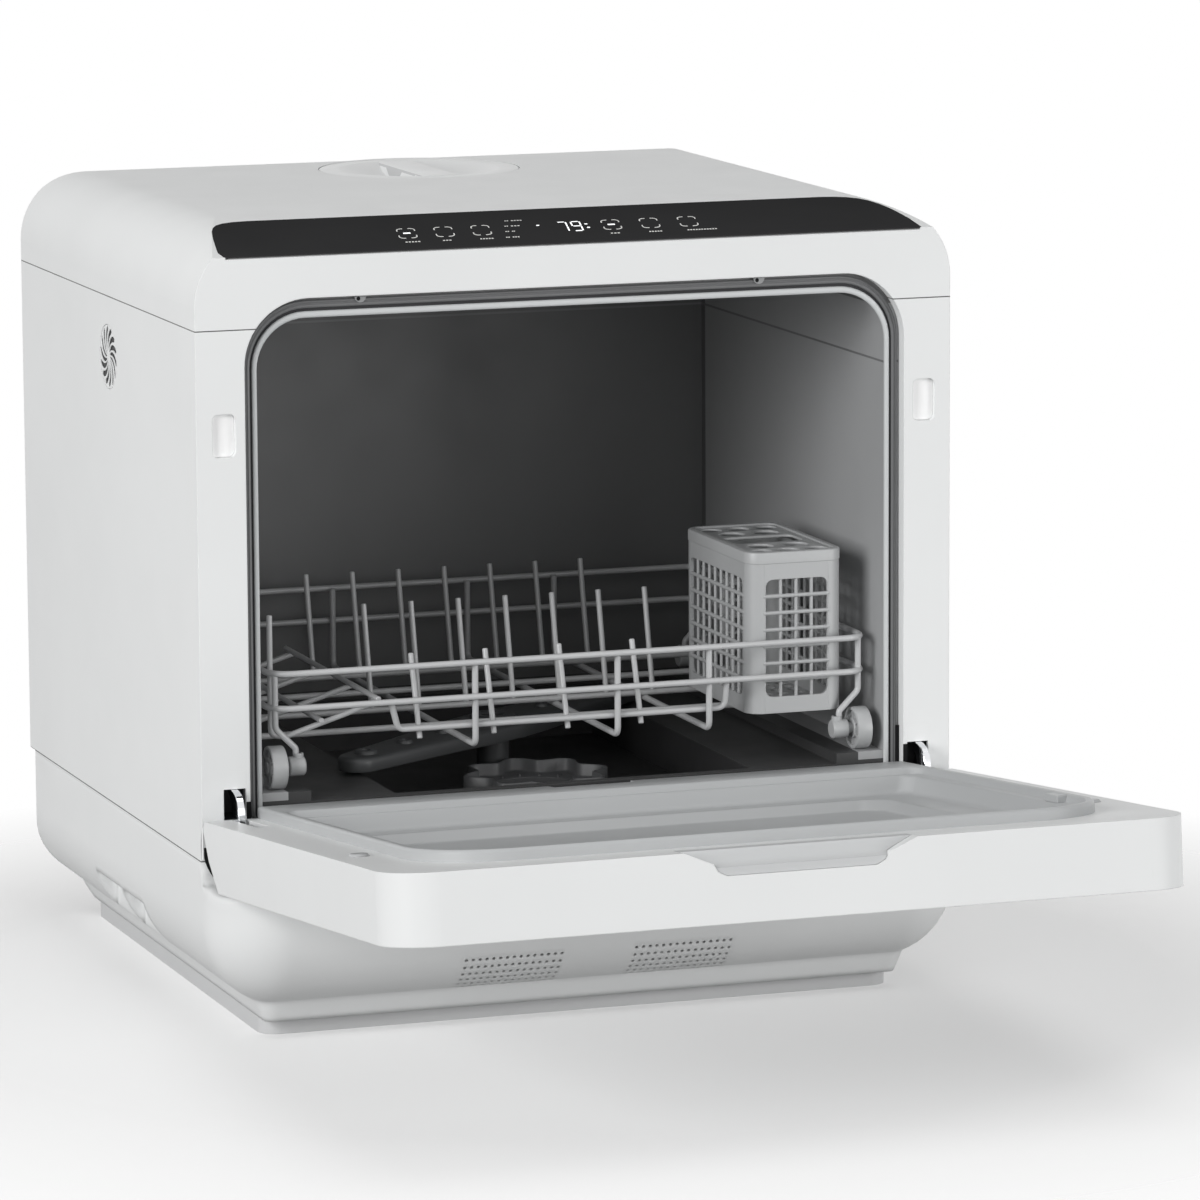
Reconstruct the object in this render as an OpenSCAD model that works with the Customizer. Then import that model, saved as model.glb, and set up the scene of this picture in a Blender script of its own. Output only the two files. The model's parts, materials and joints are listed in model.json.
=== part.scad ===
// Countertop dishwasher with a drop-down door, a rolling rack and a top-filled tank.
// Origin: centre of the flat underside. X right, Y to the back, Z up. Millimetres.

/* [Cabinet] */
// Width of the cabinet
body_w = 420; // [400:2:460]
// Depth of the cabinet behind the door plane
body_d = 356; // [350:2:400]
// Height of the cabinet
body_h = 425; // [420:1:460]
// Wall of the outer shells
shell_t = 2.5; // [2:0.1:3]
// Height of the seam between base and side shell
lower_seam = 96; // [94:1:98]
// Drop of the upper seam below the top
top_cover_h = 50; // [46:1:56]
// Radius of the long top edges
top_edge_r = 38; // [30:1:42]

/* [Opening] */
// Width of the frame left beside the opening
frame_side = 26.5; // [25:0.5:32]
// Drop of the opening below the top
frame_top = 35; // [34:0.5:42]
// Corner radius of the opening
opening_r = 35; // [28:1:40]

/* [Door] */
// Thickness of the door
door_t = 36; // [34:0.5:38]
// Drop of the closed door's free edge below the top
door_drop = 10.4; // [8:0.2:14]
// Angle of the opened door above level
door_angle = 5.9; // [3:0.1:8]
// Width of the finger grip in the free edge
grip_w = 122; // [90:2:150]

/* [Rack] */
// Diameter of the rack wire
wire_d = 3.4; // [3:0.1:4]
// Spacing of the tines
tine_pitch = 41.5; // [36:0.5:44]
// Diameter of the rack wheels
wheel_d = 23; // [21:0.5:24]
// Height of the cutlery basket
basket_h = 88; // [70:1:110]

/* [Tank] */
// Diameter of the tank cap
cap_d = 113; // [100:1:116]
// Sideways place of the cap
cap_x = 4.9; // [-10:0.1:10]

/* [Hidden] */
$fn = 64;
sides = [-1, 1];
eps = 0.01;
bead = 1.04;
// Gap between bodies that move on each other
gap = 0.4;
// Clearance of a shaft in its bore
bore_play = 0.05;
// Depth a piece sinks into its seat
seat = 0.3;
half_w = body_w / 2;
half_d = body_d / 2;
// Plane of the front frame
front_y = -half_d;
upper_seam = body_h - top_cover_h;
back_r = 12;

// Plinth and base
plinth_h = 9;
foot_in = 32;
plinth_step = 0.6;
plinth_w = body_w - 2 * (foot_in + plinth_step);
plinth_front = 5;
plinth_back = body_d - 18;
plinth_r = 10;
tray_t = 2.5;
pad_r = 9;
pad_depth = 1.5;
pad_in_x = 24;
pad_in_y = 22;
lip_out = door_t;
corner_r = 37;
bowl_r = 45;
bowl_z = 62;
bowl_in = 27;
heel_run = 16;
heel_step = 6;
heel_low = 15;
heel_z = 27;
lip_top = 83.5;
base_t = 3;

// Hinge line, in front of the frame plane and inside the door
pivot_in = 17.5;
pivot_y = front_y - pivot_in - gap;
pivot_z = 102.4;
pivot_s = 15.8;
door_len = body_h - door_drop - pivot_z + pivot_s;
pin_r = 3;
corner_sweep = 21.8;
liner_sweep = 26.9;

// Opening
open_hw = half_w - frame_side;
open_top = body_h - frame_top;
lip_depth = 8;
lip_t = 2;
open_low = 84;

// Crown of the front top edge
crown_run = 90;
crown_r = 338;

// Tub
tub_t = 2;
tub_hw = open_hw - 8.5;
tub_top = open_top - 8;
tub_r = opening_r - 8;
// Room for the tank behind the tub
tank_room = 64;
tub_back = body_d - tank_room;
track_z = 128.7;
track_in = tub_hw - 27;
shelf_z = 123;
well_hw = 100;
well_z = 98;
well_front = 12;
well_back = tub_back - 20;
flange_t = 2.5;
flange_out = half_w - 4;
sill_z = 116.4;
gasket_out = open_hw - 1.5;
gasket_in = open_hw - 5.1;
gasket_t = 1.7;
trim_in = tub_hw;
trim_out = tub_hw + 2.6;

// Wheels
wheel_r = wheel_d / 2;
wheel_w = 8.5;
wheel_gap = 0.3;
wheel_z = track_z + wheel_gap + wheel_r;
wheel_x = tub_hw - 14.8;
axle_r = 3;
axle_end = 0.8;
stub_r = 5.2;
stub_in = wheel_x - 11.6;
stub_out = wheel_x - 2.6;
wheel_front = 18;
wheel_rear = tub_back - 30;

// Rack
wire_r = wire_d / 2;
rail_hw = tub_hw - 7.7;
rail_front = 13.5;
rail_back = tub_back - 15;
rail_r = 12;
rail_high = 190.5;
rail_low = 172;
cross_z = 145.6;
// Depth that crossing wires sink into each other at a weld
weld = 0.3;
floor_z = cross_z + 2 * wire_r - weld;
front_bar_z = 156;
cross_xs = [-54, 26, 78];
floor_first = 64;
floor_step = (tub_back - floor_first - wheel_r) / 4;
floor_ys = [for (i = [0:3]) floor_first + i * floor_step];

// ---------- shared shapes ----------
module rounded_rect(w, d, r) {
  square([w - 2 * r, d], center = true);
  square([w, d - 2 * r], center = true);
  for (sx = sides)
    for (sy = sides)
      translate([sx * (w / 2 - r), sy * (d / 2 - r)])
        circle(r);
}

module plate(w, d, h, r) {
  linear_extrude(h)
    rounded_rect(w, d, r);
}

// A box by its low and high corners
module span(a, b) {
  translate(a)
    cube(b - a);
}

// A wire between two points with round ends a touch fuller than the wire
module wire(a, b, r = wire_r) {
  v = b - a;
  len = norm(v);
  translate(a)
    rotate([0, acos(v.z / len), atan2(v.y, v.x)])
      cylinder(h = len, r = r);
  for (p = [a, b])
    translate(p)
      sphere(r * bead);
}

module wire_path(points, r = wire_r) {
  for (i = [0:len(points) - 2])
    wire(points[i], points[i + 1], r);
}

// A pipe through points with flat ends and round bends
module pipe_path(points, r) {
  for (i = [0:len(points) - 2]) {
    v = points[i + 1] - points[i];
    translate(points[i])
      rotate([0, acos(v.z / norm(v)), atan2(v.y, v.x)])
        cylinder(h = norm(v), r = r);
  }
  for (i = [1:len(points) - 2])
    translate(points[i])
      sphere(r * bead);
}

// Draws a profile given in the XZ plane from y0 back to y1
module along_y(y0, y1) {
  translate([0, y1, 0])
    rotate([90, 0, 0])
      linear_extrude(y1 - y0)
        children();
}

// Draws a profile given in the YZ plane from x0 to x1
module along_x(x0, x1) {
  translate([x0, 0, 0])
    rotate([90, 0, 90])
      linear_extrude(x1 - x0)
        children();
}

// Moves to the front frame plane
module from_front() {
  translate([0, front_y, 0])
    children();
}

// Places the door: x right, y away from the hinge end to the free edge is negative
module on_door() {
  translate([0, pivot_y, pivot_z])
    rotate([-door_angle, 0, 0])
      translate([0, pivot_s, pivot_in])
        children();
}

// ---------- cabinet shapes ----------
// Half profile of the bowl-shaped base: straight side, round bowl, short foot
module bowl_2d(r, t = 0) {
  low_z = bowl_z - sqrt(pow(bowl_r, 2) - pow(bowl_r - bowl_in, 2));
  translate([0, bowl_z])
    square([r - t, lower_seam - bowl_z]);
  intersection() {
    translate([r - bowl_r, bowl_z])
      circle(bowl_r - t);
    translate([0, low_z])
      square([r, bowl_z - low_z + eps]);
  }
  polygon([[0, plinth_h], [r - foot_in - t, plinth_h], [r - bowl_in - t, low_z + t], [0, low_z + t]]);
}

module base_solid(t = 0) {
  cx = half_w - corner_r;
  cy = front_y - lip_out + corner_r;
  for (sx = sides)
    translate([sx * cx, cy, 0])
      rotate_extrude()
        bowl_2d(corner_r, t);
  along_y(cy, half_d + corner_r)
    union() {
      translate([-cx, 0])
        square([2 * cx, lower_seam]);
      for (m = [0, 1])
        mirror([m, 0])
          translate([cx, 0])
            bowl_2d(corner_r, t);
    }
  along_x(-cx, cx)
    translate([cy, 0])
      mirror([1, 0])
        bowl_2d(corner_r, t);
}

// Back of the base draws in just above the plinth
module base_back_2d(t = 0) {
  y0 = front_y - lip_out - eps;
  y1 = half_d - t;
  polygon([[y0, plinth_h], [y1 - heel_run, plinth_h], [y1 - heel_step, heel_low], [y1, heel_z],
    [y1, lower_seam], [y0, lower_seam]]);
}

module base_form(t = 0) {
  intersection() {
    base_solid(t);
    along_x(-half_w, half_w)
      base_back_2d(t);
    translate([0, -lip_out / 2 - t / 2, 0])
      plate(body_w - 2 * t, body_d + lip_out - t, lower_seam, back_r);
  }
}

// Cylinder about the hinge line
module hinge_bar(r, x0, x1) {
  translate([x0, pivot_y, pivot_z])
    rotate([0, 90, 0])
      cylinder(h = x1 - x0, r = r);
}

// Arch with round top corners in the XZ plane
module arch_2d(hw, z0, z1, r) {
  translate([-hw, z0])
    square([2 * hw, z1 - r - z0]);
  translate([-hw + r, z0])
    square([2 * (hw - r), z1 - z0]);
  for (sx = sides)
    translate([sx * (hw - r), z1 - r])
      circle(r);
}

module opening_cut() {
  along_y(front_y - eps, front_y + lip_depth + 1)
    arch_2d(open_hw, open_low, open_top, opening_r);
}

module opening_lip(z0, z1) {
  along_y(front_y, front_y + lip_depth)
    intersection() {
      difference() {
        arch_2d(open_hw + lip_t, open_low, open_top + lip_t, opening_r + lip_t);
        arch_2d(open_hw, open_low - 1, open_top, opening_r);
      }
      translate([-half_w, z0])
        square([body_w, z1 - z0]);
    }
}

// Curved wall that leaves room for the hinge end of the door
module trough_wall(out, z0, z1) {
  intersection() {
    difference() {
      hinge_bar(liner_sweep + shell_t, -half_w + shell_t, half_w - shell_t);
      hinge_bar(liner_sweep, -open_hw - eps, open_hw + eps);
      hinge_bar(corner_sweep, -half_w, half_w);
    }
    span([-half_w, front_y - out, z0], [half_w, 0, z1]);
  }
}

module trough_cut() {
  hinge_bar(corner_sweep, -half_w - 1, half_w + 1);
  hinge_bar(liner_sweep, -open_hw, open_hw);
}

vent_cols = 15;
vent_rows = 6;
vent_pitch = 3.8;
vent_step = 7;
vent_start = 30;
vent_hole = 0.95;
vent_left = -75.4;
vent_right = 19.6;
drip_xs = [-47, 46.8];
drip_z = 50.8;
grip_front = 124;
grip_back = 222;
grip_top = 50;
grip_low = 24;
grip_depth = 14;
grip_rib = 166;

// Rows of small holes that follow the round of the base
module vent_field(x0) {
  for (j = [0:vent_rows - 1])
    translate([0, front_y - lip_out + bowl_r, bowl_z])
      rotate([vent_start + j * vent_step, 0, 0])
        for (i = [0:vent_cols - 1])
          translate([x0 + i * vent_pitch, -bowl_r - 1, 0])
            rotate([-90, 0, 0])
              cylinder(h = base_t + 3, r = vent_hole, $fn = 16);
}

module hand_grip(sx) {
  translate([sx * half_w, 0, 0])
    from_front()
      difference() {
        span([-grip_depth - bowl_in / 2, grip_front, grip_low], [grip_depth, grip_back, grip_top]);
        span([-2 * bowl_in, grip_rib, 0], [bowl_in, grip_rib + base_t, lower_seam]);
      }
}

module grip_pan(sx) {
  intersection() {
    translate([sx * half_w, 0, 0])
      from_front()
        span([-grip_depth - bowl_in, grip_front - base_t, grip_low - base_t],
          [bowl_in, grip_back + base_t, grip_top + base_t]);
    base_form();
  }
}

module base_shell() {
  color("white")
    difference() {
      union() {
        difference() {
          base_form();
          base_form(base_t);
          span([-half_w, -half_d + base_t + 1, -eps], [half_w, half_d - base_t, plinth_h + eps]);
        }
        intersection() {
          trough_wall(lip_out - shell_t, plinth_h, lower_seam);
          base_form();
        }
        intersection() {
          base_form();
          from_front()
            span([-half_w, -lip_out, lip_top - base_t], [half_w, -corner_sweep / 2, lip_top]);
        }
        for (sx = sides)
          grip_shell(sx);
      }
      trough_cut();
      span([-half_w - 1, front_y - 2 * lip_out, lip_top], [half_w + 1, front_y, body_h]);
      vent_field(vent_left);
      vent_field(vent_right);
      for (x = drip_xs)
        translate([x, front_y - lip_out - 1, drip_z])
          rotate([-90, 0, 0])
            cylinder(h = bowl_r / 2, r = vent_hole, $fn = 16);
      for (sx = sides)
        hand_grip(sx);
    }
}

module grip_shell(sx) {
  difference() {
    grip_pan(sx);
    translate([sx * half_w, 0, 0])
      from_front()
        span([-half_w, grip_front, 0], [-grip_depth - bowl_in / 2 - base_t, grip_back, grip_low - eps]);
  }
}

module base_tray() {
  mid_y = (plinth_front + plinth_back) / 2 - half_d;
  color("white")
    difference() {
      translate([0, mid_y, 0])
        difference() {
          plate(plinth_w, plinth_back - plinth_front, plinth_h, plinth_r);
          translate([0, 0, tray_t])
            plate(
              plinth_w - 2 * tray_t, plinth_back - plinth_front - 2 * tray_t,
              plinth_h, plinth_r - tray_t
            );
        }
      for (p = pad_places)
        translate([p.x, p.y, -eps])
          cylinder(h = pad_depth + eps, r = pad_r);
    }
}

pad_places = [
  for (sx = sides, y = [plinth_front + pad_in_y, plinth_back - pad_in_y])
    [sx * (plinth_w / 2 - pad_in_x), y - half_d]
];

module foot_pads() {
  color("dimgray")
    for (p = pad_places)
      translate([p.x, p.y, 0])
        cylinder(h = pad_depth, r = pad_r);
}

// Section of the cabinet in the XZ plane
module cabinet_2d(t = 0) {
  arch_2d(half_w - t, lower_seam, body_h - t, top_edge_r - t);
}

// Side view of the cabinet with the crowned front top edge
module crown_2d(t = 0) {
  top = body_h - t;
  translate([front_y + crown_run, 0])
    square([body_d - crown_run - back_r, top]);
  intersection() {
    translate([front_y + crown_run, top - crown_r])
      circle(crown_r, $fn = 128);
    translate([front_y + t, 0])
      square([crown_run - t + eps, top]);
  }
  translate([half_d - back_r - eps, 0])
    square([back_r - t + eps, top - back_r]);
  translate([half_d - back_r, top - back_r])
    intersection() {
      circle(back_r - t);
      translate([-eps, 0])
        square([back_r, back_r + eps]);
    }
  translate([half_d - back_r - eps, top - back_r])
    square([2 * eps, back_r - eps]);
}

module cabinet_form(t = 0) {
  intersection() {
    along_y(front_y, half_d)
      cabinet_2d(t);
    along_x(-half_w, half_w)
      crown_2d(t);
  }
}

slot_in = open_hw + 2.2;
slot_out = half_w - 12;
box_t = 1;
box_low = sill_z;
box_high = 147;
box_deep = 24;
slot_low = box_low + box_t;
slot_high = 143;
pad_x = half_w - 15;
pad_z = body_h - 105;
pad_w = 12.5;
pad_h = 22.5;
pocket_deep = 6;
vent_y = 171.5;
vent_z = body_h - 83;
vent_r = 17.5;
vent_play = 0.1;
panel_hw = 150;
panel_low = 104;
panel_high = body_h - 95;

module pocket_form(grow, deep) {
  for (sx = sides)
    from_front()
      translate([sx * pad_x, deep, pad_z])
        rotate([90, 0, 0])
          plate(pad_w + 2 * grow, pad_h + 2 * grow, deep + eps, pad_w / 4);
}

module body_shell() {
  color("whitesmoke")
    difference() {
      union() {
        difference() {
          cabinet_form();
          cabinet_form(shell_t);
        }
        opening_lip(sill_z, upper_seam);
        trough_wall(0, lower_seam, sill_z - gap);
        intersection() {
          pocket_form(shell_t / 2, pocket_deep);
          cabinet_form();
        }
      }
      span([-half_w - 1, -half_d - 1, upper_seam], [half_w + 1, half_d + 1, body_h + 1]);
      opening_cut();
      trough_cut();
      pocket_form(0, pocket_deep - 1);
      for (m = [0, 1])
        mirror([m, 0, 0])
          from_front()
            span([slot_in, -eps, slot_low], [slot_out, shell_t + eps, slot_high]);
      side_vent_hole(vent_r + vent_play);
      span([-panel_hw, half_d - shell_t - eps, panel_low], [panel_hw, half_d + eps, panel_high]);
    }
}

module side_vent_hole(r) {
  from_front()
    translate([-half_w - eps, vent_y, vent_z])
      rotate([0, 90, 0])
        cylinder(h = shell_t + 2 * eps, r = r);
}

socket_xs = [-60, -100];
socket_z = 128;
socket_r = 9;
socket_wall = 2;
socket_out = 10;
gland_x = 118;
gland_r = 8;
screw_r = 3;
screw_h = 1.2;
rear_vent_n = 9;
rear_vent_w = 4;
rear_vent_l = 30;
rear_vent_z = 168;
rear_vent_pitch = 9;

module back_panel() {
  color("gainsboro")
    difference() {
      union() {
        span([gap / 4 - panel_hw, half_d - shell_t, panel_low + gap / 4],
          [panel_hw - gap / 4, half_d, panel_high - gap / 4]);
        span([-panel_hw - shell_t, half_d - 2 * shell_t, panel_low - shell_t],
          [panel_hw + shell_t, half_d - shell_t, panel_high + shell_t]);
      }
      for (x = socket_xs)
        translate([x, half_d - 3 * shell_t, socket_z])
          rotate([-90, 0, 0])
            cylinder(h = 4 * shell_t, r = socket_r);
      translate([gland_x, half_d - 3 * shell_t, socket_z])
        rotate([-90, 0, 0])
          cylinder(h = 4 * shell_t, r = gland_r);
      for (i = [0:rear_vent_n - 1])
        translate([gland_x - rear_vent_l, half_d - 3 * shell_t, rear_vent_z + i * rear_vent_pitch])
          cube([rear_vent_l, 4 * shell_t, rear_vent_w]);
    }
}

module back_screws() {
  color("silver")
    for (sx = sides)
      for (z = [panel_low + 4 * screw_r, panel_high - 4 * screw_r])
        translate([sx * (panel_hw - 4 * screw_r), half_d, z])
          rotate([-90, 0, 0])
            cylinder(h = screw_h, r = screw_r);
}

cap_y = body_d - 66;
cap_play = 0.4;
cap_shelf = 4.6;
boss_wall = 3;
boss_low = 7.5;
neck_r = 47.5;
neck_t = 2.5;
panel_t = 1.2;

module cap_place() {
  translate([cap_x, cap_y - half_d, 0])
    children();
}

module top_cover() {
  color("white")
    difference() {
      union() {
        difference() {
          cabinet_form();
          cabinet_form(shell_t);
        }
        opening_lip(upper_seam, body_h);
        cap_place()
          translate([0, 0, body_h - boss_low])
            cylinder(h = boss_low, r = cap_d / 2 + cap_play + boss_wall);
      }
      span([-half_w - 1, -half_d - 1, 0], [half_w + 1, half_d + 1, upper_seam]);
      opening_cut();
      cap_place() {
        translate([0, 0, body_h - cap_shelf - cap_play])
          cylinder(h = cap_shelf + 1, r = cap_d / 2 + cap_play);
        translate([0, 0, body_h - boss_low - 1])
          cylinder(h = boss_low, r = neck_r + neck_t + cap_play);
      }
      panel_band(panel_t);
    }
}

// Dark control band let into the crowned front edge
panel_front_hw = 193;
panel_back_hw = 172;
panel_run = 64;
panel_corner = 18;

module panel_2d() {
  polygon([
    [-panel_front_hw, front_y - 1], [panel_front_hw, front_y - 1],
    [panel_front_hw - 1, front_y + panel_run / 4],
    [panel_back_hw, front_y + panel_run - panel_corner / 2],
    [panel_back_hw - panel_corner, front_y + panel_run],
    [panel_corner - panel_back_hw, front_y + panel_run],
    [-panel_back_hw, front_y + panel_run - panel_corner / 2],
    [1 - panel_front_hw, front_y + panel_run / 4]
  ]);
}

module panel_band(t) {
  intersection() {
    difference() {
      cabinet_form();
      translate([0, 0, -t])
        cabinet_form();
    }
    translate([0, 0, upper_seam])
      linear_extrude(top_cover_h)
        panel_2d();
    span([-half_w, front_y, upper_seam + top_cover_h / 2], [half_w, 0, body_h]);
  }
}

module control_panel() {
  color([0.15, 0.15, 0.16])
    difference() {
      panel_band(panel_t);
      marks(1);
    }
}

mark_t = 0.25;
key_xs = [-87, -66.5, -46, 26.5, 48, 69.5];
key_y = 24.3;
key_w = 9.7;
key_d = 16;
key_line = 0.9;
key_open = 2.4;
dash_w = 3.8;
dash_d = 1.6;
label_w = 8.6;
label_drop = 14;
list_x = -33;
list_ys = [11, 20, 29, 39];
digit_xs = [-2.9, 4.8];
digit_h = 15.6;
digit_w = 4.8;

// Plan of one square key mark: four corner brackets
module bracket_2d() {
  difference() {
    square([key_w, key_d], center = true);
    square([key_w - 2 * key_line, key_d - 2 * key_line], center = true);
    square([key_w, key_d / key_open], center = true);
    square([key_w / key_open, key_d], center = true);
  }
}

module marks_2d() {
  for (x = key_xs)
    translate([x, front_y + key_y]) {
      bracket_2d();
      translate([-label_w / 2, -label_drop])
        square([label_w, key_line]);
    }
  for (x = [key_xs[0], key_xs[3]])
    translate([x, front_y + key_y])
      square([dash_w, dash_d], center = true);
  for (y = list_ys)
    translate([list_x, front_y + y])
      square([label_w, key_line]);
}

// Seven-segment strokes: a numeral seven and a numeral nine
module digits_2d() {
  w = digit_w;
  h = digit_h;
  l = key_line;
  translate([digit_xs[0], front_y + key_y - h / 2]) {
    translate([0, h - l])
      square([w, l]);
    translate([w - l, 0])
      square([l, h]);
  }
  translate([digit_xs[1], front_y + key_y - h / 2]) {
    translate([0, h - l])
      square([w, l]);
    translate([0, h / 2])
      square([w, l]);
    square([w, l]);
    translate([w - l, 0])
      square([l, h]);
    translate([0, h / 2])
      square([l, h / 2]);
  }
}

module marks(grow) {
  intersection() {
    difference() {
      translate([0, 0, grow])
        cabinet_form();
      translate([0, 0, -mark_t])
        cabinet_form();
    }
    translate([0, 0, upper_seam])
      linear_extrude(top_cover_h + grow) {
        marks_2d();
        digits_2d();
      }
  }
}

module lit_marks() {
  intersection() {
    difference() {
      cabinet_form();
      translate([0, 0, -mark_t])
        cabinet_form();
    }
    translate([0, 0, upper_seam])
      linear_extrude(top_cover_h)
        children();
  }
}

module key_marks() {
  color("silver")
    lit_marks()
      marks_2d();
}

module display_digits() {
  color("white")
    lit_marks()
      digits_2d();
}

board_hw = 150;
board_y = [14, 54];
board_z = body_h - 25;
board_t = 1.6;
post_r = 3;

module control_board() {
  color("darkgreen")
    from_front() {
      span([-board_hw, board_y[0], board_z], [board_hw, board_y[1], board_z + board_t]);
      for (sx = sides)
        for (y = [board_y[0] + 2 * post_r, board_y[1] - 2 * post_r])
          translate([sx * (board_hw - 2 * post_r), y, tub_top + tub_t])
            cylinder(h = board_z - tub_top - tub_t + eps, r = post_r);
    }
}

// ---------- tub and water parts ----------
// Reach of the closed door's liner into the tub
liner_reach = 10;
arm_room = 3;
hub_y = (tub_back + liner_reach) / 2;
hub_r = 9;
spigot_r = 6;
spigot_drop = 6;
arm_z = 125;
arm_t = 8;
arm_len = (tub_back - liner_reach) / 2 - arm_room;
arm_tip = 11;
arm_mid = 22;
arm_angle = 217;
filter_x = 7;
filter_y = 98;
filter_hole = 30;

module tub_2d(t = 0) {
  arch_2d(tub_hw + t, track_z - t, tub_top + t, tub_r + t);
  translate([-track_in - t, shelf_z - t])
    square([2 * (track_in + t), track_z - shelf_z + 2 * t]);
}

module tub() {
  color("gray")
    from_front()
      difference() {
        union() {
          along_y(lip_depth, tub_back + tub_t)
            tub_2d(tub_t);
          span([-well_hw - tub_t, well_front, well_z - tub_t], [well_hw + tub_t, well_back + tub_t, shelf_z]);
          along_y(lip_depth, lip_depth + flange_t)
            arch_2d(flange_out, sill_z, open_top + lip_depth, opening_r + lip_depth);
        }
        along_y(lip_depth - 1, tub_back)
          tub_2d();
        span([-well_hw, well_front + tub_t, well_z], [well_hw, well_back, shelf_z + 1]);
        translate([filter_x, filter_y, 0])
          cylinder(h = shelf_z, r = filter_hole);
        translate([0, hub_y, 0])
          cylinder(h = shelf_z, r = spigot_r);
        for (m = [0, 1])
          mirror([m, 0, 0])
            span([slot_in - eps, lip_depth - 1, box_low - 1],
              [slot_out + 2 * box_t + eps, tub_back, box_high + eps]);
      }
}

// Ring between two arches with a flat sill
module sill_ring(y0, y1, hw_in, hw_out, low) {
  wide = hw_out - hw_in;
  grow = hw_out - tub_hw;
  along_y(y0, y1)
    difference() {
      arch_2d(hw_out, low, tub_top + grow, tub_r + grow);
      arch_2d(hw_in, low + wide, tub_top + grow - wide, tub_r + grow - wide);
    }
}

module door_gasket() {
  color("black")
    from_front()
      sill_ring(lip_depth - gasket_t, lip_depth, gasket_in, gasket_out, sill_z + gap);
}

module gasket_trim() {
  color("lightgray")
    from_front()
      sill_ring(lip_depth - gasket_t, lip_depth, trim_in, trim_out, sill_z + gap + gasket_out - trim_out);
}

catch_xs = [-117, 103];
catch_w = 9;
catch_h = 2.4;
catch_in = 0.8;

// Spring catches under the top lip of the opening
module latch_receivers() {
  color("silver")
    from_front()
      for (x = catch_xs)
        difference() {
          span([x - catch_w / 2, catch_in, open_top - catch_h / 2],
            [x + catch_w / 2, lip_depth - gasket_t - gap, open_top]);
          translate([x, 0, open_top - catch_h / 2])
            rotate([-90, 0, 0])
              cylinder(h = catch_h / 2, r = catch_h / 4);
        }
}

module frame_pads() {
  color("white")
    for (sx = sides)
      from_front()
        translate([sx * pad_x, pocket_deep - 1, pad_z])
          rotate([90, 0, 0])
            plate(pad_w - 0.2, pad_h - 0.2, 2, pad_w / 4);
}

slot_count = 14;
slot_curve = 8;
slot_from = 4.6;
slot_to = 15.6;

module side_vent() {
  color("whitesmoke")
    from_front()
      translate([-half_w, vent_y, vent_z])
        rotate([0, 90, 0])
          linear_extrude(shell_t)
            difference() {
              circle(vent_r);
              for (i = [0:slot_count - 1])
                rotate(i * 360 / slot_count)
                  intersection() {
                    difference() {
                      circle(slot_to);
                      circle(slot_from);
                    }
                    translate([slot_curve + slot_from / 2, 0])
                      difference() {
                        circle(slot_curve);
                        translate([-0.5, 1.7])
                          circle(slot_curve);
                        translate([-2 * slot_curve, -slot_curve / 4])
                          square([4 * slot_curve, 4 * slot_curve]);
                      }
                  }
            }
}

fan_r = 25;
fan_wall = 2;
fan_deep = 24;
rotor_r = 22;
rotor_in = 4;
rotor_deep = 14;
rotor_hub = 8;
blade_n = 9;
blade_t = 1.6;
shaft_r = 1.5;

module fan_place(x) {
  from_front()
    translate([x, vent_y, vent_z])
      rotate([0, 90, 0])
        children();
}

module fan_housing() {
  color("dimgray")
    fan_place(-half_w + shell_t)
      difference() {
        cylinder(h = fan_deep, r = fan_r + fan_wall);
        translate([0, 0, -eps])
          cylinder(h = fan_deep - fan_wall, r = fan_r);
        cylinder(h = fan_deep + 1, r = rotor_hub / 2);
      }
}

module fan_rotor() {
  color("darkgray")
    fan_place(-half_w + shell_t + rotor_in)
      difference() {
        union() {
          cylinder(h = rotor_deep, r = rotor_hub);
          for (i = [0:blade_n - 1])
            rotate(i * 360 / blade_n)
              translate([rotor_hub - 1, -blade_t / 2, 1])
                cube([rotor_r - rotor_hub, blade_t, rotor_deep - 2]);
        }
        translate([0, 0, -eps])
          cylinder(h = rotor_deep + 1, r = shaft_r + bore_play);
      }
}

module fan_motor() {
  color("silver") {
    fan_place(-half_w + shell_t + fan_deep)
      cylinder(h = half_w - tub_hw - tub_t - shell_t - fan_deep, r = rotor_hub + 2);
    fan_place(-half_w + shell_t + rotor_in / 2)
      cylinder(h = fan_deep - rotor_in / 2 + 1, r = shaft_r);
  }
}

tank_hw = 150;
tank_back = body_d - 2 * shell_t;
tank_low = 140;
tank_gap = 0.5;
tank_t = 2.5;
tank_shelf = tub_top + 6;
shelf_hw = 80;
tank_x0 = cap_x - shelf_hw;
tank_x1 = cap_x + shelf_hw;
tank_front = cap_y - 60;
tank_top = body_h - boss_low - tank_gap;

module tank_form(t) {
  from_front() {
    span([-tank_hw + t, tub_back + tub_t + t, tank_low + t], [tank_hw - t, tank_back - t, tank_top - t]);
    span([tank_x0 + t, tank_front + t, tank_shelf + t], [tank_x1 - t, tank_back - t, tank_top - t]);
  }
}

outlet_x = 90;
outlet_y = body_d - 34;
outlet_r = 7;
valve_z = 50;

module water_tank() {
  color("aliceblue")
    difference() {
      tank_form(0);
      tank_form(tank_t);
      cap_place()
        translate([0, 0, tank_shelf + tank_t])
          cylinder(h = body_h, r = neck_r);
      from_front()
        translate([outlet_x, outlet_y, tank_low - 1])
          cylinder(h = tank_t + 2, r = outlet_r - 2);
    }
}

module tank_neck() {
  color("lightgray")
    cap_place()
      translate([0, 0, tank_top])
        difference() {
          cylinder(h = boss_low - cap_shelf - 2 * cap_play, r = neck_r + neck_t);
          translate([0, 0, -1])
            cylinder(h = boss_low + 2, r = neck_r);
        }
}

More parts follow.
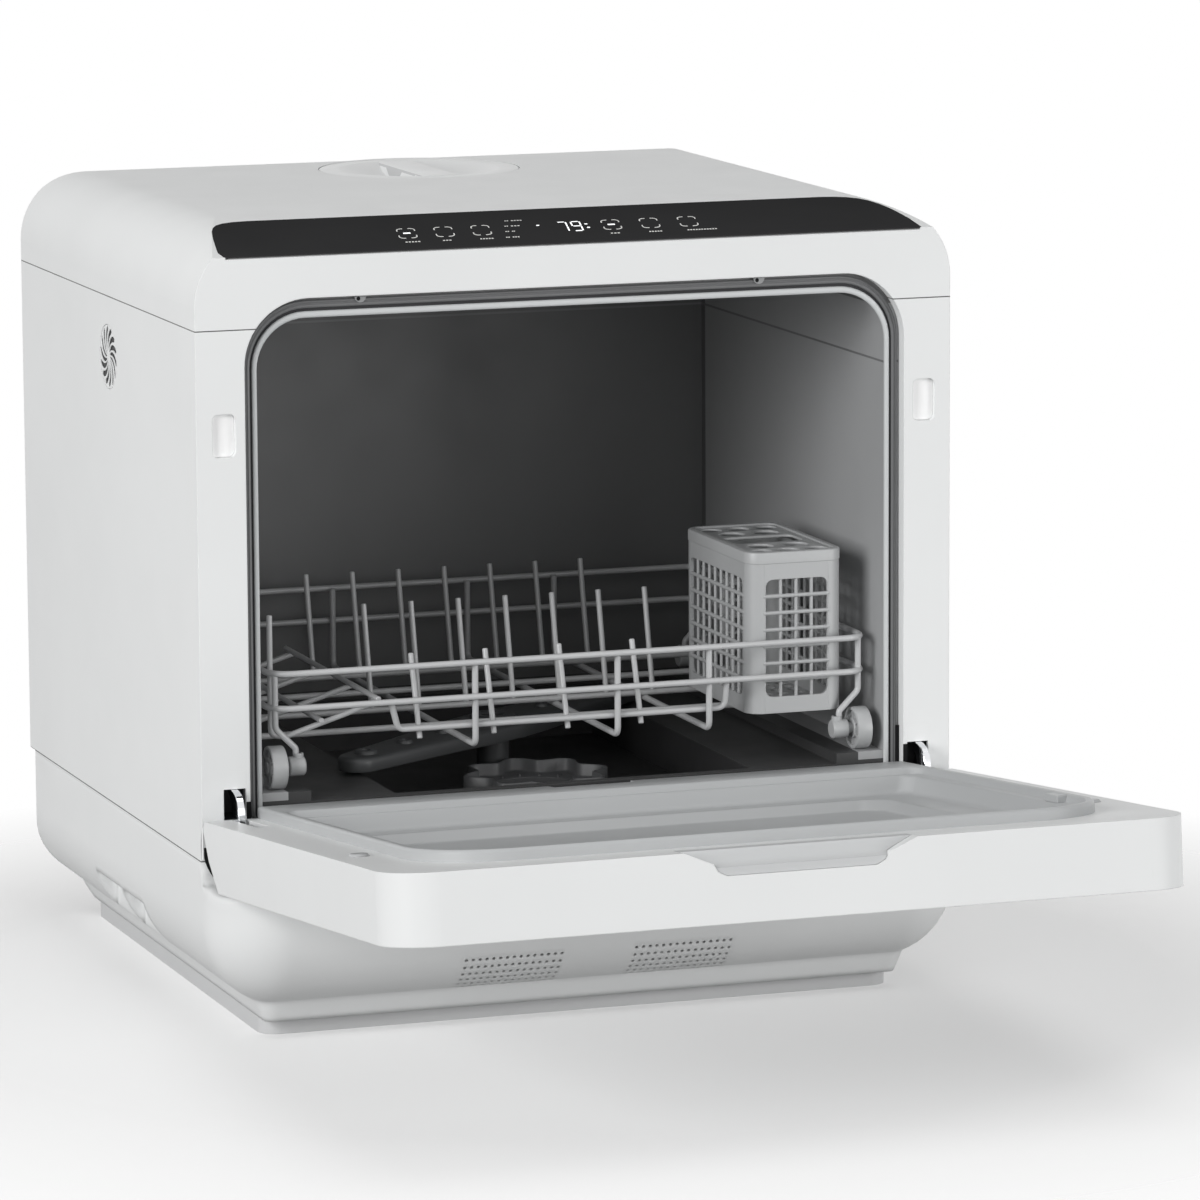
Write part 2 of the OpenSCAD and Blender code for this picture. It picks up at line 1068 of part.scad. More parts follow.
skirt_r = 45;
skirt_t = 3;
skirt_low = 16;
seal_play = 0.3;
dish_r = 44;
dish_floor = 22;
dish_deep = 7.6;
dish_t = 2.4;
dish_slope = (dish_r - dish_floor) / dish_deep;
bar_w = 20.4;
bar_foot = 38;

// Round bowl of the cap, from its floor up past the top face
module cap_bowl(t) {
  translate([0, 0, body_h - dish_deep - t])
    cylinder(h = dish_deep + t + 1, r1 = dish_floor + t,
      r2 = dish_floor + t + dish_slope * (dish_deep + t + 1));
}

module cap_disc() {
  translate([0, 0, body_h - cap_shelf])
    cylinder(h = cap_shelf, r = cap_d / 2);
  difference() {
    translate([0, 0, body_h - skirt_low])
      cylinder(h = skirt_low - 1, r = skirt_r);
    translate([0, 0, body_h - skirt_low - 1])
      cylinder(h = skirt_low - cap_shelf + 1, r = skirt_r - skirt_t);
  }
}

module grip_bar() {
  intersection() {
    translate([0, dish_r + 1, body_h - dish_deep - eps])
      rotate([90, 0, 0])
        linear_extrude(2 * dish_r + 2)
          polygon([
            [-bar_foot / 2, 0], [bar_foot / 2, 0], [bar_w / 2, dish_deep + eps], [-bar_w / 2, dish_deep + eps]
          ]);
    cap_bowl(dish_t / 2);
  }
}

module tank_cap() {
  color("white")
    cap_place() {
      difference() {
        union() {
          cap_disc();
          intersection() {
            cap_bowl(dish_t);
            translate([0, 0, body_h - skirt_low])
              cylinder(h = skirt_low - 1, r = skirt_r);
          }
        }
        cap_bowl(0);
      }
      grip_bar();
    }
}

module cap_seal() {
  color("black")
    cap_place()
      translate([0, 0, body_h - skirt_low + 2])
        difference() {
          cylinder(h = 4, r = neck_r - seal_play);
          translate([0, 0, -1])
            cylinder(h = 6, r = skirt_r + seal_play);
        }
}

arm_x = open_hw + 8.5;
arm_plate = 4;
arm_w = 8.5;
eye_r = 7;
link_end = box_deep - box_t - arm_w / 2 + seat;
link_path = [[-pivot_in - gap, pivot_z], [-7, 120], [-1, 131], [8, 138], [link_end, 139]];

module link_2d() {
  for (i = [0:len(link_path) - 2])
    capsule_2d(link_path[i], link_path[i + 1], arm_w / 2);
  translate([-pivot_in - gap, pivot_z])
    circle(eye_r);
}

module capsule_2d(a, b, r) {
  v = b - a;
  translate(a) {
    circle(r);
    rotate(atan2(v.y, v.x))
      translate([0, -r / bead])
        square([norm(v), 2 * r / bead]);
  }
  translate(b)
    circle(r);
}

module hinge_arms() {
  color("silver")
    for (sx = sides)
      difference() {
        from_front()
          along_x(sx * arm_x - arm_plate / 2, sx * arm_x + arm_plate / 2)
            link_2d();
        hinge_bar(pin_r, sx * arm_x - arm_plate, sx * arm_x + arm_plate);
      }
}

pin_in = open_hw + 2.3;
pin_out = half_w - 6;

module hinge_pins() {
  color("silver") {
    hinge_bar(pin_r, pin_in, pin_out);
    hinge_bar(pin_r, -pin_out, -pin_in);
  }
}

// Dark boxes behind the slots of the frame
module hinge_slots() {
  color("black")
    for (m = [0, 1])
      mirror([m, 0, 0])
        from_front()
          difference() {
            span([slot_in, shell_t, box_low], [slot_out + 2 * box_t, box_deep, box_high]);
            span([slot_in + box_t, 0, box_low + box_t],
              [slot_out + box_t, box_deep - box_t, box_high - box_t]);
          }
}

hub_low = well_z - tub_t - spigot_drop;

module spray_hub() {
  color("dimgray")
    from_front()
      translate([0, hub_y, 0])
        difference() {
          union() {
            translate([0, 0, well_z])
              cylinder(h = arm_z - gap - well_z, r = hub_r);
            translate([0, 0, hub_low])
              cylinder(h = arm_z + arm_t + 1 - hub_low, r = spigot_r - eps);
          }
          translate([0, 0, hub_low - eps])
            cylinder(h = arm_z + arm_t - hub_low - tub_t, r = spigot_r - tub_t);
        }
}

nozzle_at = [48, 84, 120];
nozzle_r = 4.5;
nozzle_h = 2.2;
nut_r = 12;

module arm_place() {
  from_front()
    translate([0, hub_y, arm_z])
      rotate(arm_angle)
        children();
}

module spray_arm() {
  color("gray")
    arm_place()
      difference() {
        union() {
          cylinder(h = arm_t, r = arm_mid);
          for (a = [0, 180])
            rotate(a) {
              linear_extrude(arm_t)
                polygon([
                  [0, -arm_mid], [arm_len - arm_tip, -arm_tip],
                  [arm_len - arm_tip, arm_tip], [0, arm_mid]
                ]);
              translate([arm_len - arm_tip, 0, 0])
                cylinder(h = arm_t, r = arm_tip);
            }
        }
        translate([0, 0, -1])
          cylinder(h = arm_t + 2, r = spigot_r + bore_play);
        for (a = [0, 180])
          rotate(a)
            for (r = nozzle_at)
              translate([r, 0, -1])
                cylinder(h = arm_t + 2, r = nozzle_r / 2);
      }
}

module spray_nozzles() {
  color("darkgray")
    arm_place() {
      translate([0, 0, arm_t])
        difference() {
          cylinder(h = nozzle_h + 1.4, r = nut_r);
          translate([0, 0, -1])
            cylinder(h = nozzle_h + 1.8, r = spigot_r + 2 * bore_play);
        }
      for (a = [0, 180])
        rotate(a)
          for (r = nozzle_at)
            translate([r, 0, arm_t])
              difference() {
                cylinder(h = nozzle_h, r1 = nozzle_r, r2 = nozzle_r - 1.2);
                translate([0, 0, -1])
                  cylinder(h = nozzle_h + 2, r = nozzle_r / 4);
              }
    }
}

lobe_n = 8;
lobe_at = 33;
lobe_r = 8.6;
ring_r = 35;
ring_t = 2;
ring_mid = 106;
ring_top = 113;
cup_r = 28;
cup_low = 70;

module flower_2d(t = 0) {
  circle(ring_r - t);
  for (i = [0:lobe_n - 1])
    rotate(i * 360 / lobe_n)
      translate([lobe_at, 0])
        circle(lobe_r - t);
}

module filter_ring() {
  color("dimgray")
    from_front()
      translate([filter_x, filter_y, 0]) {
        translate([0, 0, well_z + gap])
          difference() {
            cylinder(h = ring_mid - well_z - gap, r = lobe_at + lobe_r);
            translate([0, 0, -1])
              cylinder(h = ring_mid, r = cup_r - ring_t);
          }
        translate([0, 0, ring_mid - eps])
          linear_extrude(ring_top - ring_mid)
            difference() {
              flower_2d();
              flower_2d(ring_t);
            }
      }
}

module filter_mesh() {
  color("silver")
    from_front()
      translate([filter_x, filter_y, cup_low])
        difference() {
          cylinder(h = well_z + gap - cup_low, r = cup_r);
          translate([0, 0, ring_t])
            cylinder(h = well_z, r = cup_r - ring_t);
          for (i = [0:11])
            rotate(i * 30)
              translate([cup_r - 2 * ring_t, -2, 2 * ring_t])
                cube([3 * ring_t, 4, 14]);
        }
}

sump_r = 38;
sump_low = 58;

module sump() {
  color("dimgray")
    from_front()
      translate([filter_x, filter_y, sump_low])
        difference() {
          cylinder(h = well_z - tub_t - sump_low, r = sump_r);
          translate([0, 0, 3])
            cylinder(h = well_z, r = sump_r - 3);
        }
}

pump_x = 42;
pump_y = 190;
pump_z = 42;
pump_r = 28;
pump_len = 78;
volute_x = 28;
volute_w = 15;
volute_r = 33;
cradle_x = [52, 112];

module wash_pump() {
  color("darkslategray")
    from_front() {
      translate([pump_x, pump_y, pump_z])
        rotate([0, 90, 0])
          cylinder(h = pump_len, r = pump_r);
      translate([volute_x, pump_y, pump_z])
        rotate([0, 90, 0])
          cylinder(h = volute_w, r = volute_r);
      span([cradle_x[0], pump_y - pump_r, tray_t], [cradle_x[1], pump_y + pump_r, pump_z - pump_r / 2]);
    }
}

drain_x = -70;
drain_y = 150;
drain_pump_r = 20;
drain_pump_h = 44;
drain_foot_h = 12;
drain_foot_r = 26;
drain_z = 30;
riser_y = body_d - 26;
riser_run = 40;
riser_rise = 20;

module drain_pump() {
  color("slategray")
    from_front() {
      translate([drain_x, drain_y, tray_t])
        cylinder(h = drain_pump_h, r = drain_pump_r);
      translate([drain_x, drain_y, tray_t])
        cylinder(h = drain_foot_h, r = drain_foot_r);
    }
}

heater_ring = 47;
heater_z = 66;
heater_r = 4;
heater_arms = [30, 150, 270];
heater_arm_w = 6;
heater_arm_h = 4;

module heater() {
  color("silver")
    from_front()
      translate([filter_x, filter_y, heater_z]) {
        rotate_extrude()
          translate([heater_ring, 0])
            circle(heater_r);
        for (a = heater_arms)
          rotate(a)
            translate([sump_r - weld, -heater_arm_w / 2, -heater_arm_h / 2])
              cube([heater_ring - sump_r + weld, heater_arm_w, heater_arm_h]);
      }
}

pipe_r = 7;
feed_z = 82;
feed_x = volute_x + volute_w / 2;

module feed_pipe() {
  color("dimgray")
    from_front() {
      pipe_path([[feed_x, pump_y, pump_z + volute_r - weld], [feed_x, pump_y, feed_z],
        [0, hub_y, feed_z], [0, hub_y, hub_low]], pipe_r);
    }
}

valve_gap = 33;
valve_deep = 29;
valve_hw = 16;
valve_low = 32;
valve_high = 66;
valve_post = 10;

module tank_pipe() {
  color("dimgray")
    from_front()
      pipe_path([[outlet_x, outlet_y, tank_low], [outlet_x, outlet_y, valve_z],
        [outlet_x, outlet_y - valve_gap, valve_z]], outlet_r);
}

module drain_pipe() {
  color("dimgray")
    from_front()
      pipe_path([[drain_x, drain_y + drain_pump_r - weld, drain_z], [drain_x, riser_y - riser_run, drain_z],
        [socket_xs[1], riser_y, drain_z + riser_rise], [socket_xs[1], riser_y, socket_z],
        [socket_xs[1], body_d - 2 * shell_t, socket_z]], pipe_r);
}

module inlet_valve() {
  color("steelblue")
    from_front() {
      span([outlet_x - valve_hw, outlet_y - valve_gap - valve_deep, valve_low],
        [outlet_x + valve_hw, outlet_y - valve_gap, valve_high]);
      translate([outlet_x, outlet_y - valve_gap - valve_deep / 2, tray_t])
        cylinder(h = valve_low - tray_t + eps, r = valve_post);
    }
}

module hose_sockets() {
  color("gray")
    for (x = socket_xs)
      translate([x, half_d - 2 * shell_t, socket_z])
        rotate([-90, 0, 0])
          difference() {
            cylinder(h = 2 * shell_t + socket_out, r = socket_r);
            translate([0, 0, 2 * shell_t])
              cylinder(h = socket_out + 1, r = socket_r - socket_wall);
          }
}

module cord_gland() {
  color("black")
    translate([gland_x, half_d - 2 * shell_t, socket_z])
      rotate([-90, 0, 0])
        difference() {
          union() {
            cylinder(h = 3 * shell_t, r = gland_r);
            translate([0, 0, 2 * shell_t])
              cylinder(h = shell_t, r = gland_r + 3);
          }
          translate([0, 0, -1])
            cylinder(h = 5 * shell_t, r = gland_r / 2);
        }
}

mains_x = -105;
mains_y = 84;
mains_w = 90;
mains_d = 68;
mains_z = 12;
mains_in = 6;
coil_size = [28, 28, 26.4];
relay_size = [24, 30, 20.4];

module power_board() {
  color("darkgreen")
    from_front()
      translate([mains_x, mains_y, 0]) {
        translate([-mains_w / 2, -mains_d / 2, mains_z])
          cube([mains_w, mains_d, board_t]);
        for (sx = sides)
          for (sy = sides)
            translate([sx * (mains_w / 2 - mains_in), sy * (mains_d / 2 - mains_in), tray_t])
              cylinder(h = mains_z - tray_t + eps, r = post_r);
        translate([-mains_w / 2 + mains_in, -coil_size.y / 2, mains_z + board_t - eps])
          cube(coil_size);
        translate([mains_in, -relay_size.y / 2, mains_z + board_t - eps])
          cube(relay_size);
      }
}

// ---------- door: y is minus the distance from the hinge end, z is minus the depth ----------
door_hw = half_w;
door_r = 25;
door_start = 1.5;
door_cut = 3;
door_edge = 6;
door_wall = 2.5;
liner_hw = open_hw - 2;
liner_start = 4;
liner_end = open_top - (pivot_z - pivot_s) - 2.4;
liner_r = 44;
liner_rise = 6;
liner_t = 2.2;
rim_w = 4.5;
ledge_h = 2;
ledge_hw = liner_hw - rim_w;
ledge_end = liner_end - rim_w;
window_hw = liner_hw - 3;
window_start = 7;
dish_hw = ledge_hw - 6;
dish_start = 40;
dish_end = ledge_end - 2;
dish_low = 8;
dish_corner = 36;
dish_near_r = 8;
floor_hw = dish_hw - 24;
floor_in = 18;
floor_low = 14;
pocket_play = 1.6;
pocket_in = arm_x - arm_plate / 2 - pocket_play;
pocket_out = arm_x + arm_plate / 2 + pocket_play;
pocket_r = 40;
knuckle_r = 8;

// Side view of the door slab in the YZ plane
module slab_2d(t = 0) {
  polygon([
    [-door_len + t, -t], [-door_start - door_cut - t, -t], [-door_start - t, -door_cut - t / 2],
    [-door_start - t, -door_edge], [-9 - t, -20], [-25 - t / 2, -door_t + t], [-door_len + t, -door_t + t]
  ]);
}

module slab(t) {
  intersection() {
    along_x(-door_hw + t, door_hw - t)
      slab_2d(t);
    translate([0, -door_len / 2 + door_r / 2, -door_t - 1])
      plate(2 * door_hw - 2 * t, door_len + door_r - 2 * t, door_t + 2, door_r - t);
  }
}

// Plate with round corners at the free end only
module free_plate(hw, s0, s1, r, h) {
  linear_extrude(h) {
    translate([-hw, -s1 + r])
      square([2 * hw, s1 - s0 - r]);
    free_edge_2d(hw, s1, r);
  }
}

module free_edge_2d(hw, s1, r) {
  translate([-hw + r, -s1])
    square([2 * (hw - r), r + eps]);
  for (sx = sides)
    translate([sx * (hw - r), -s1 + r])
      circle(r);
}

// Plate with small round corners at the hinge end and large ones at the free end
module tray_plate(hw, s0, s1, r0, r1, h) {
  linear_extrude(h) {
    translate([-hw, -s1 + r1])
      square([2 * hw, s1 - s0 - r0 - r1]);
    translate([-hw + r0, -s0 - r0 - eps])
      square([2 * (hw - r0), r0 + eps]);
    for (sx = sides)
      translate([sx * (hw - r0), -s0 - r0])
        circle(r0);
    free_edge_2d(hw, s1, r1);
  }
}

// Plate with all four corners round, from s0 to s1 along the door
module deck(hw, s0, s1, r, h) {
  translate([0, -(s0 + s1) / 2, 0])
    plate(2 * hw, s1 - s0, h, r);
}

grip_low_w = 92;
grip_drop = 12.5;
grip_deep = 16;
grip_fit = 0.1;
grip_round = 7;
scoop_r = 12.6;
scoop_out = 4;
scoop_up = 3.5;

module grip_2d(t = 0) {
  hw = grip_w / 2 - t;
  lw = grip_low_w / 2 - t;
  polygon([[-hw, eps], [hw, eps], [lw, -grip_drop / 2], [lw - grip_round / 3, t + grip_round / 3 - grip_drop],
    [lw - grip_round, t - grip_drop], [grip_round - lw, t - grip_drop],
    [grip_round / 3 - lw, t + grip_round / 3 - grip_drop], [-lw, -grip_drop / 2]]);
}

module grip_form(t, s0, s1) {
  along_y(-s1, -s0)
    grip_2d(t);
}

module arm_pocket() {
  for (sx = sides)
    translate([0, -pivot_s, -pivot_in])
      rotate([0, 90, 0])
        translate([0, 0, sx > 0 ? pocket_in : -pocket_out]) {
          cylinder(h = pocket_out - pocket_in, r = knuckle_r);
          intersection() {
            cylinder(h = pocket_out - pocket_in, r = pocket_r);
            translate([-pocket_r - 1, -pocket_r - 1, -1])
              cube([pocket_r + 1 + knuckle_r / 4, 2 * pocket_r + 2, pocket_out]);
          }
        }
}

module pin_bore(x0, x1) {
  for (m = [0, 1])
    mirror([m, 0, 0])
      translate([x0, -pivot_s, -pivot_in])
        rotate([0, 90, 0])
          cylinder(h = x1 - x0, r = pin_r + bore_play);
}

module door_shell() {
  color("white")
    on_door()
      difference() {
        union() {
          difference() {
            slab(0);
            slab(door_wall);
          }
          intersection() {
            slab(0);
            grip_form(-door_wall, door_len - grip_deep - door_wall, door_len);
          }
        }
        translate([0, 0, -door_wall - 1])
          deck(window_hw, window_start, liner_end - 3, dish_corner, door_wall + 2);
        grip_form(0, door_len - grip_deep, door_len + 1);
        arm_pocket();
      }
}

notch_xs = [-20, 25];

module door_liner() {
  color("lightgray")
    on_door()
      difference() {
        union() {
          free_plate(liner_hw, liner_start, liner_end, liner_r, liner_rise);
          translate([0, 0, -dish_low - liner_t])
            tray_plate(dish_hw + liner_t, dish_start - liner_t, dish_end + liner_t,
              dish_near_r + liner_t, dish_corner + liner_t, dish_low + liner_t + 1);
          translate([0, 0, -floor_low - liner_t])
            deck(floor_hw + liner_t, dish_start + floor_in - liner_t, dish_end - floor_in + liner_t,
              dish_corner, floor_low);
        }
        translate([0, 0, ledge_h])
          tray_plate(ledge_hw, dish_start, ledge_end, dish_near_r, liner_r - rim_w, liner_rise);
        translate([0, 0, -dish_low])
          tray_plate(dish_hw, dish_start, dish_end, dish_near_r, dish_corner, dish_low + liner_rise + 1);
        translate([0, 0, -floor_low])
          deck(floor_hw, dish_start + floor_in, dish_end - floor_in, dish_corner - liner_t, floor_low + 1);
        translate([0, 0, -eps])
          deck(dish_hw - liner_t, liner_start + 4 * liner_t, dish_start - 2 * liner_t,
            dish_near_r / 2, liner_rise - liner_t);
        span([notch_xs[0], -2 * door_r / 3, liner_rise - liner_t / 2], [notch_xs[1], 0, liner_rise + 1]);
      }
}

module grip_insert() {
  color("lightgray")
    on_door()
      difference() {
        grip_form(grip_fit, door_len - grip_deep, door_len - door_wall / 4);
        translate([-door_hw, -door_len - scoop_out, scoop_up])
          rotate([0, 90, 0])
            cylinder(h = 2 * door_hw, r = scoop_r);
      }
}

bumper_s = pad_z - pivot_z + pivot_s - 4.4;
bumper_r = 5.4;
bumper_h = 1.3;

module door_bumpers() {
  color("lightgray")
    on_door()
      for (sx = sides)
        translate([sx * pad_x, -bumper_s, 0])
          cylinder(h = bumper_h, r1 = bumper_r, r2 = bumper_r - 1);
}

block_in = open_hw + 1.1;
block_out = half_w - 5;
block_s = [8.5, 44];
block_t = [door_wall, 30];

module hinge_blocks() {
  color("dimgray")
    on_door()
      difference() {
        intersection() {
          union() {
            span([block_in, -block_s[1], -block_t[1]], [block_out, -block_s[0], -block_t[0]]);
            span([-block_out, -block_s[1], -block_t[1]], [-block_in, -block_s[0], -block_t[0]]);
          }
          slab(door_wall);
        }
        arm_pocket();
        pin_bore(block_in - 1, block_out + 1);
      }
}

clip_w = 5.4;
clip_len = 17;
clip_s = liner_end - 69;

// Small boss on the ledge against the rim
module corner_clip() {
  color("lightgray")
    on_door()
      span([ledge_hw - clip_w, -clip_s - clip_len / 2, ledge_h],
        [ledge_hw, -clip_s + clip_len / 2, liner_rise]);
}

// ---------- rack ----------
// One closed rail with round corners
module rail(z) {
  w = rail_hw - rail_r;
  y0 = rail_front + rail_r;
  y1 = rail_back - rail_r;
  for (sx = sides) {
    translate([sx * rail_hw, y0, z])
      rotate([-90, 0, 0])
        cylinder(h = y1 - y0, r = wire_r);
    for (y = [y0, y1])
      translate([sx * w, y, z])
        intersection() {
          rotate_extrude()
            translate([rail_r, 0])
              circle(wire_r);
          translate([sx > 0 ? 0 : -2 * rail_r, y == y0 ? -2 * rail_r : 0, -2 * wire_r])
            cube([2 * rail_r, 2 * rail_r, 4 * wire_r]);
        }
  }
  for (y = [rail_front, rail_back])
    translate([-w, y, z])
      rotate([0, 90, 0])
        cylinder(h = 2 * w, r = wire_r);
}

post_x = rail_hw - wire_d + weld;
post_ys = [wheel_front, wheel_rear];
lean_in = 11;
lean_low = 150;
lean_high = 161;
post_low = wheel_z + stub_r + wire_r * bead - seat;

module rack_rails() {
  color("gainsboro")
    from_front() {
      rail(rail_high);
      rail(rail_low);
      for (sx = sides)
        for (y = post_ys)
          wire_path([[sx * post_x, y, rail_high], [sx * post_x, y, lean_high],
            [sx * (post_x - lean_in), y, lean_low], [sx * (post_x - lean_in), y, post_low]]);
      for (sx = sides)
        for (y = floor_ys)
          wire([sx * post_x, y, rail_high], [sx * post_x, y, floor_z]);
    }
}

bar_left = -96;
bar_right = 88;
bar_splay = 5;
drop_front = rail_front + wire_d - weld;
drop_back = rail_back - wire_d + weld;
bar_y = drop_front + wire_d - weld;

module rack_floor() {
  color("gainsboro")
    from_front() {
      for (x = cross_xs)
        wire_path([[x, drop_front, rail_high], [x, drop_front, cross_z],
          [x, drop_back, cross_z], [x, drop_back, rail_high]]);
      for (y = floor_ys)
        wire([-post_x, y, floor_z], [post_x, y, floor_z]);
      wire_path([[bar_left - bar_splay, drop_front, rail_low], [bar_left, bar_y, front_bar_z],
        [bar_right, bar_y, front_bar_z], [bar_right, drop_front, rail_low]]);
    }
}

front_tines = [-2 * tine_pitch, -tine_pitch, 0, tine_pitch];
tine_low = 150;
tine_lean = 13;
tine_high = 193;
tine_r = 1.5;
rear_rows = [floor_ys[1], floor_ys[3]];
rear_n = 7;
rear_from = -80;
rear_pitch = 27;
rear_high = 205;

module rack_tines() {
  color("gainsboro")
    from_front() {
      for (x = front_tines)
        wire([x, bar_y + wire_r - tine_r / 2, tine_low],
          [x, bar_y + wire_r + tine_r + tine_lean, tine_high], tine_r);
      for (y = rear_rows)
        for (i = [0:rear_n - 1])
          wire([rear_from + i * rear_pitch, y, floor_z + wire_r - weld],
            [rear_from + i * rear_pitch, y + tine_lean, rear_high], tine_r);
    }
}

shelf_first = 26;
shelf_ys = [shelf_first, floor_ys[0] + 12, floor_ys[1] + 12, floor_ys[2] + 12];
shelf_high = 220;
shelf_in = -104;
shelf_low = 156;
shelf_end = 171;
shelf_x = wire_r + tine_r - weld - rail_hw;
shelf_bend = 8;
shelf_over = 6;
shelf_run = shelf_in - shelf_x - shelf_bend;
bar_at = [0.35, 0.95];

// Sloped wires that carry cups at the left side
module cup_shelf() {
  color("gainsboro")
    from_front() {
      for (y = shelf_ys)
        wire_path([[shelf_x, y, shelf_high], [shelf_x, y, shelf_low],
          [shelf_x + shelf_bend, y, shelf_low - 1], [shelf_in, y, shelf_end]], tine_r);
      for (f = bar_at) {
        x = shelf_x + shelf_bend + f * shelf_run;
        z = shelf_low - 1 + f * (shelf_end - shelf_low + 1) + 2 * tine_r - weld;
        wire([x, shelf_ys[0] - shelf_over, z], [x, shelf_ys[3] + shelf_over, z], tine_r);
      }
    }
}

module wheel_stubs() {
  color("darkgray")
    from_front()
      for (sx = sides)
        for (y = post_ys)
          translate([0, y, wheel_z])
            rotate([0, sx * 90, 0]) {
              translate([0, 0, stub_in])
                cylinder(h = stub_out - stub_in, r = stub_r);
              translate([0, 0, stub_out - eps])
                cylinder(h = wheel_x + wheel_w + axle_end - stub_out, r = axle_r);
            }
}

wheel_rim = 2;
wheel_boss = 2.5;
wheel_sink = 2;

// Ring-shaped hollow in a wheel face
module wheel_hollow() {
  difference() {
    cylinder(h = wheel_sink + 1, r = wheel_r - wheel_rim);
    translate([0, 0, -1])
      cylinder(h = wheel_sink + 3, r = axle_r + wheel_boss);
  }
}

module rack_wheel(sx, y) {
  color("silver")
    from_front()
      translate([0, y, wheel_z])
        rotate([0, sx * 90, 0])
          translate([0, 0, wheel_x])
            difference() {
              cylinder(h = wheel_w, r = wheel_r);
              translate([0, 0, -1])
                cylinder(h = wheel_w + 2, r = axle_r + bore_play);
              translate([0, 0, wheel_w - wheel_sink])
                wheel_hollow();
              translate([0, 0, -1])
                wheel_hollow();
            }
}

module rack_wheel_fl() {
  rack_wheel(-1, wheel_front);
}

module rack_wheel_fr() {
  rack_wheel(1, wheel_front);
}

module rack_wheel_rl() {
  rack_wheel(-1, wheel_rear);
}

module rack_wheel_rr() {
  rack_wheel(1, wheel_rear);
}

// ---------- cutlery basket ----------
basket_w = 54.5;
basket_d = 102.6;
basket_x0 = rail_hw - 64.8;
basket_y0 = rail_front + 6.9;
basket_low = floor_z + wire_r + weld;
basket_t = 2;
basket_r = 9;
rim_h = 6;
front_cols = 4;
front_pitch = 8.6;
front_cell = 6.4;
side_cols = 7;
side_pitch = 12;
side_cell = 9;
cell_rows = 7;
cell_z0 = 9;
cell_bar = 2.4;
drip_cols = 5;
drip_rows = 10;
drip_pitch = 9.6;
drip_r = 3;

module basket_plan(t = 0) {
  rounded_rect(basket_w - 2 * t, basket_d - 2 * t, basket_r - t);
}

// Moves to the middle of the basket's plan
module basket_place() {
  from_front()
    translate([basket_x0 + basket_w / 2, basket_y0 + basket_d / 2, basket_low])
      children();
}

// Boxes that cut one row of openings through opposite walls
module cell_row(n, pitch, width, through, high) {
  for (i = [0:n - 1])
    translate([(i - (n - 1) / 2) * pitch - width / 2, -through / 2, 0])
      cube([width, through, high]);
}

module basket_body() {
  step_z = (basket_h - rim_h - 2 * cell_z0) / cell_rows;
  color("darkgray")
    basket_place()
      difference() {
        linear_extrude(basket_h - rim_h)
          basket_plan();
        translate([0, 0, basket_t])
          linear_extrude(basket_h)
            basket_plan(basket_t);
        for (j = [0:cell_rows - 1])
          translate([0, 0, cell_z0 + j * step_z]) {
            cell_row(front_cols, front_pitch, front_cell, 2 * basket_d, step_z - cell_bar);
            rotate(90)
              cell_row(side_cols, side_pitch, side_cell, 2 * basket_w, step_z - cell_bar);
          }
        for (i = [0:drip_cols - 1])
          for (j = [0:drip_rows - 1])
            translate([(i - (drip_cols - 1) / 2) * drip_pitch, (j - (drip_rows - 1) / 2) * drip_pitch, -1])
              cylinder(h = basket_t + 2, r = drip_r, $fn = 24);
      }
}

lid_t = 1;
lid_sink = 3;
lid_slot = 22.6;
lid_edge = 6;
mouth_out = 12;
mouth_in = 29;
mouth_pitch = 16;
mouth_wide_pitch = 20;
mouth_r = 6;
mouth_wide_r = 6.6;

module basket_lid() {
  color("darkgray")
    basket_place()
      difference() {
        translate([0, 0, basket_h - rim_h])
          linear_extrude(rim_h)
            basket_plan();
        translate([0, 0, basket_h - rim_h - 1])
          linear_extrude(rim_h - lid_t + 1)
            basket_plan(basket_t);
        span([-basket_w, -lid_slot / 2, basket_h - lid_sink], [basket_w, lid_slot / 2, basket_h + 1]);
        span([lid_edge - basket_w / 2, -lid_slot / 2, 0],
          [basket_w / 2 - lid_edge, lid_slot / 2, basket_h + 1]);
        for (sy = sides) {
          for (i = [-1:1])
            translate([i * mouth_pitch, sy * (basket_d / 2 - mouth_out), 0])
              cylinder(h = basket_h + 1, r = mouth_r, $fn = 32);
          for (sx = sides)
            translate([sx * mouth_wide_pitch / 2, sy * (basket_d / 2 - mouth_in), 0])
              cylinder(h = basket_h + 1, r = mouth_wide_r, $fn = 32);
        }
      }
}

base_shell();
base_tray();
foot_pads();
body_shell();
back_panel();
back_screws();
top_cover();
control_panel();
key_marks();
display_digits();
control_board();
tub();
door_gasket();
gasket_trim();
latch_receivers();
frame_pads();
side_vent();
fan_housing();
fan_rotor();
fan_motor();
water_tank();
tank_neck();
tank_cap();
cap_seal();
hinge_arms();
hinge_pins();
hinge_slots();
spray_hub();
spray_arm();
spray_nozzles();
filter_ring();
filter_mesh();
sump();
wash_pump();
drain_pump();
heater();
feed_pipe();
tank_pipe();
drain_pipe();
inlet_valve();
hose_sockets();
power_board();
cord_gland();
door_shell();
door_liner();
grip_insert();
door_bumpers();
hinge_blocks();
corner_clip();
rack_rails();
rack_floor();
rack_tines();
cup_shelf();
wheel_stubs();
rack_wheel_fl();
rack_wheel_fr();
rack_wheel_rl();
rack_wheel_rr();
basket_body();
basket_lid();
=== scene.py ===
"""Dresses a countertop dishwasher: finishes, moulded details, wire rack, camera, light and floor.

Sizes of the pieces are millimetres in the cabinet's own frame: X right, Y back from the front
frame plane, Z up. Sizes on the door are X right, S from the hinge end to the free edge, and H
above the door's inner face. Sizes in the finishes and of the lamps are metres.
"""

import json
import logging
import math
from abc import ABC, abstractmethod
from dataclasses import dataclass
from enum import Enum
from typing import Callable, Iterable, Sequence

